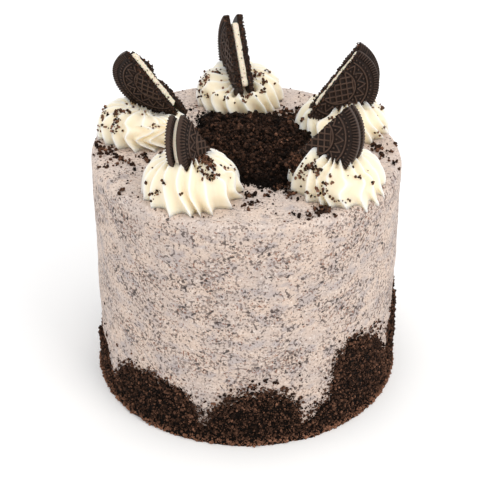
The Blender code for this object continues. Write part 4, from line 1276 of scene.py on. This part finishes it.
class CAKE_OT_biscuits(bpy.types.Operator):
    """Make the five half biscuits"""

    bl_idname = "cake.biscuits"
    bl_label = "Biscuits"

    def execute(self, context):
        settings = context.scene.cake_settings
        wafer = cocoa_wafer(settings)
        filling = biscuit_filling(settings)
        for place in BISCUITS:
            make_wafer(place, 1, wafer)
            make_wafer(place, -1, wafer)
            make_filling(place, filling)
        return {"FINISHED"}


def new_area_light(name, place, target, size, power, colour):
    """A square area light that looks at a target."""
    light = bpy.data.lights.new(name, "AREA")
    light.size = size
    light.energy = power
    light.color = linear(colour)[:3]
    item = bpy.data.objects.new(name, light)
    item.location = place
    item.rotation_euler = (Vector(target) - Vector(place)).to_track_quat("-Z", "Y").to_euler()
    bpy.context.scene.collection.objects.link(item)


class CAKE_OT_stage(bpy.types.Operator):
    """Make the floor, the light and the camera"""

    bl_idname = "cake.stage"
    bl_label = "Stage"

    def execute(self, context):
        scene = context.scene
        stage = scene.stage_settings
        material, tree, place = new_material("matt_white_floor", roughness=0.9, ior=1.45)
        tint = add_node(tree, "TexNoise", bumps_of(place, 400))
        inputs = {0: tint, 6: linear("#FBFBFB"), 7: linear("#FDFDFD")}
        give_surface(tree, add_node(tree, "Mix", inputs, 2, **COLOURS))
        half = stage.floor_size / 2
        mesh = bpy.data.meshes.new("floor")
        corners = [(-half, -half, 0), (half, -half, 0), (half, half, 0), (-half, half, 0)]
        mesh.from_pydata(corners, [], [(0, 1, 2, 3)])
        mesh.materials.append(material)
        floor = bpy.data.objects.new("floor", mesh)
        scene.collection.objects.link(floor)
        world = bpy.data.worlds.new("soft_sky")
        world.use_nodes = True
        background = world.node_tree.nodes["Background"]
        background.inputs["Color"].default_value = linear("#FFFFFF")
        background.inputs["Strength"].default_value = stage.sky
        scene.world = world
        new_area_light("key", (0.55, -0.55, 0.95), (0, 0, 0.1), 0.5, stage.key_power, "#FFFBF5")
        camera = bpy.data.cameras.new("camera")
        camera.sensor_width = SENSOR_WIDTH
        camera.lens = FOCAL_PIXELS / FRAME_PIXELS * SENSOR_WIDTH
        camera.clip_start = 0.01
        item = bpy.data.objects.new("camera", camera)
        item.location = CAMERA_PLACE
        item.rotation_euler = (math.pi / 2 - CAMERA_TILT, 0, 0)
        scene.collection.objects.link(item)
        scene.camera = item
        scene.view_settings.view_transform = "Standard"
        return {"FINISHED"}


class CAKE_PT_panel(bpy.types.Panel):
    """Lists the cake's settings and its pieces"""

    bl_label = "Cookies and Cream Cake"
    bl_idname = "CAKE_PT_panel"
    bl_space_type = "VIEW_3D"
    bl_region_type = "UI"
    bl_category = "Cake"

    def draw(self, context):
        for group in (context.scene.cake_settings, context.scene.stage_settings):
            for label in group.__annotations__:
                self.layout.prop(group, label)
        for operator in OPERATORS:
            self.layout.operator(operator.bl_idname)


OPERATORS = (CAKE_OT_frosting, CAKE_OT_crumbs, CAKE_OT_rosettes, CAKE_OT_biscuits, CAKE_OT_stage)
CLASSES = (CakeSettings, StageSettings, *OPERATORS, CAKE_PT_panel)


def register():
    """Adds the classes and the settings to Blender."""
    for item in CLASSES:
        bpy.utils.register_class(item)
    bpy.types.Scene.cake_settings = PointerProperty(type=CakeSettings)
    bpy.types.Scene.stage_settings = PointerProperty(type=StageSettings)


def unregister():
    """Takes the settings and the classes out again."""
    del bpy.types.Scene.stage_settings
    del bpy.types.Scene.cake_settings
    for item in reversed(CLASSES):
        bpy.utils.unregister_class(item)


def main():
    """Makes every piece in order."""
    register()
    bpy.ops.cake.frosting()
    bpy.ops.cake.crumbs()
    bpy.ops.cake.rosettes()
    bpy.ops.cake.biscuits()
    bpy.ops.cake.stage()


if __name__ == "__main__":
    main()
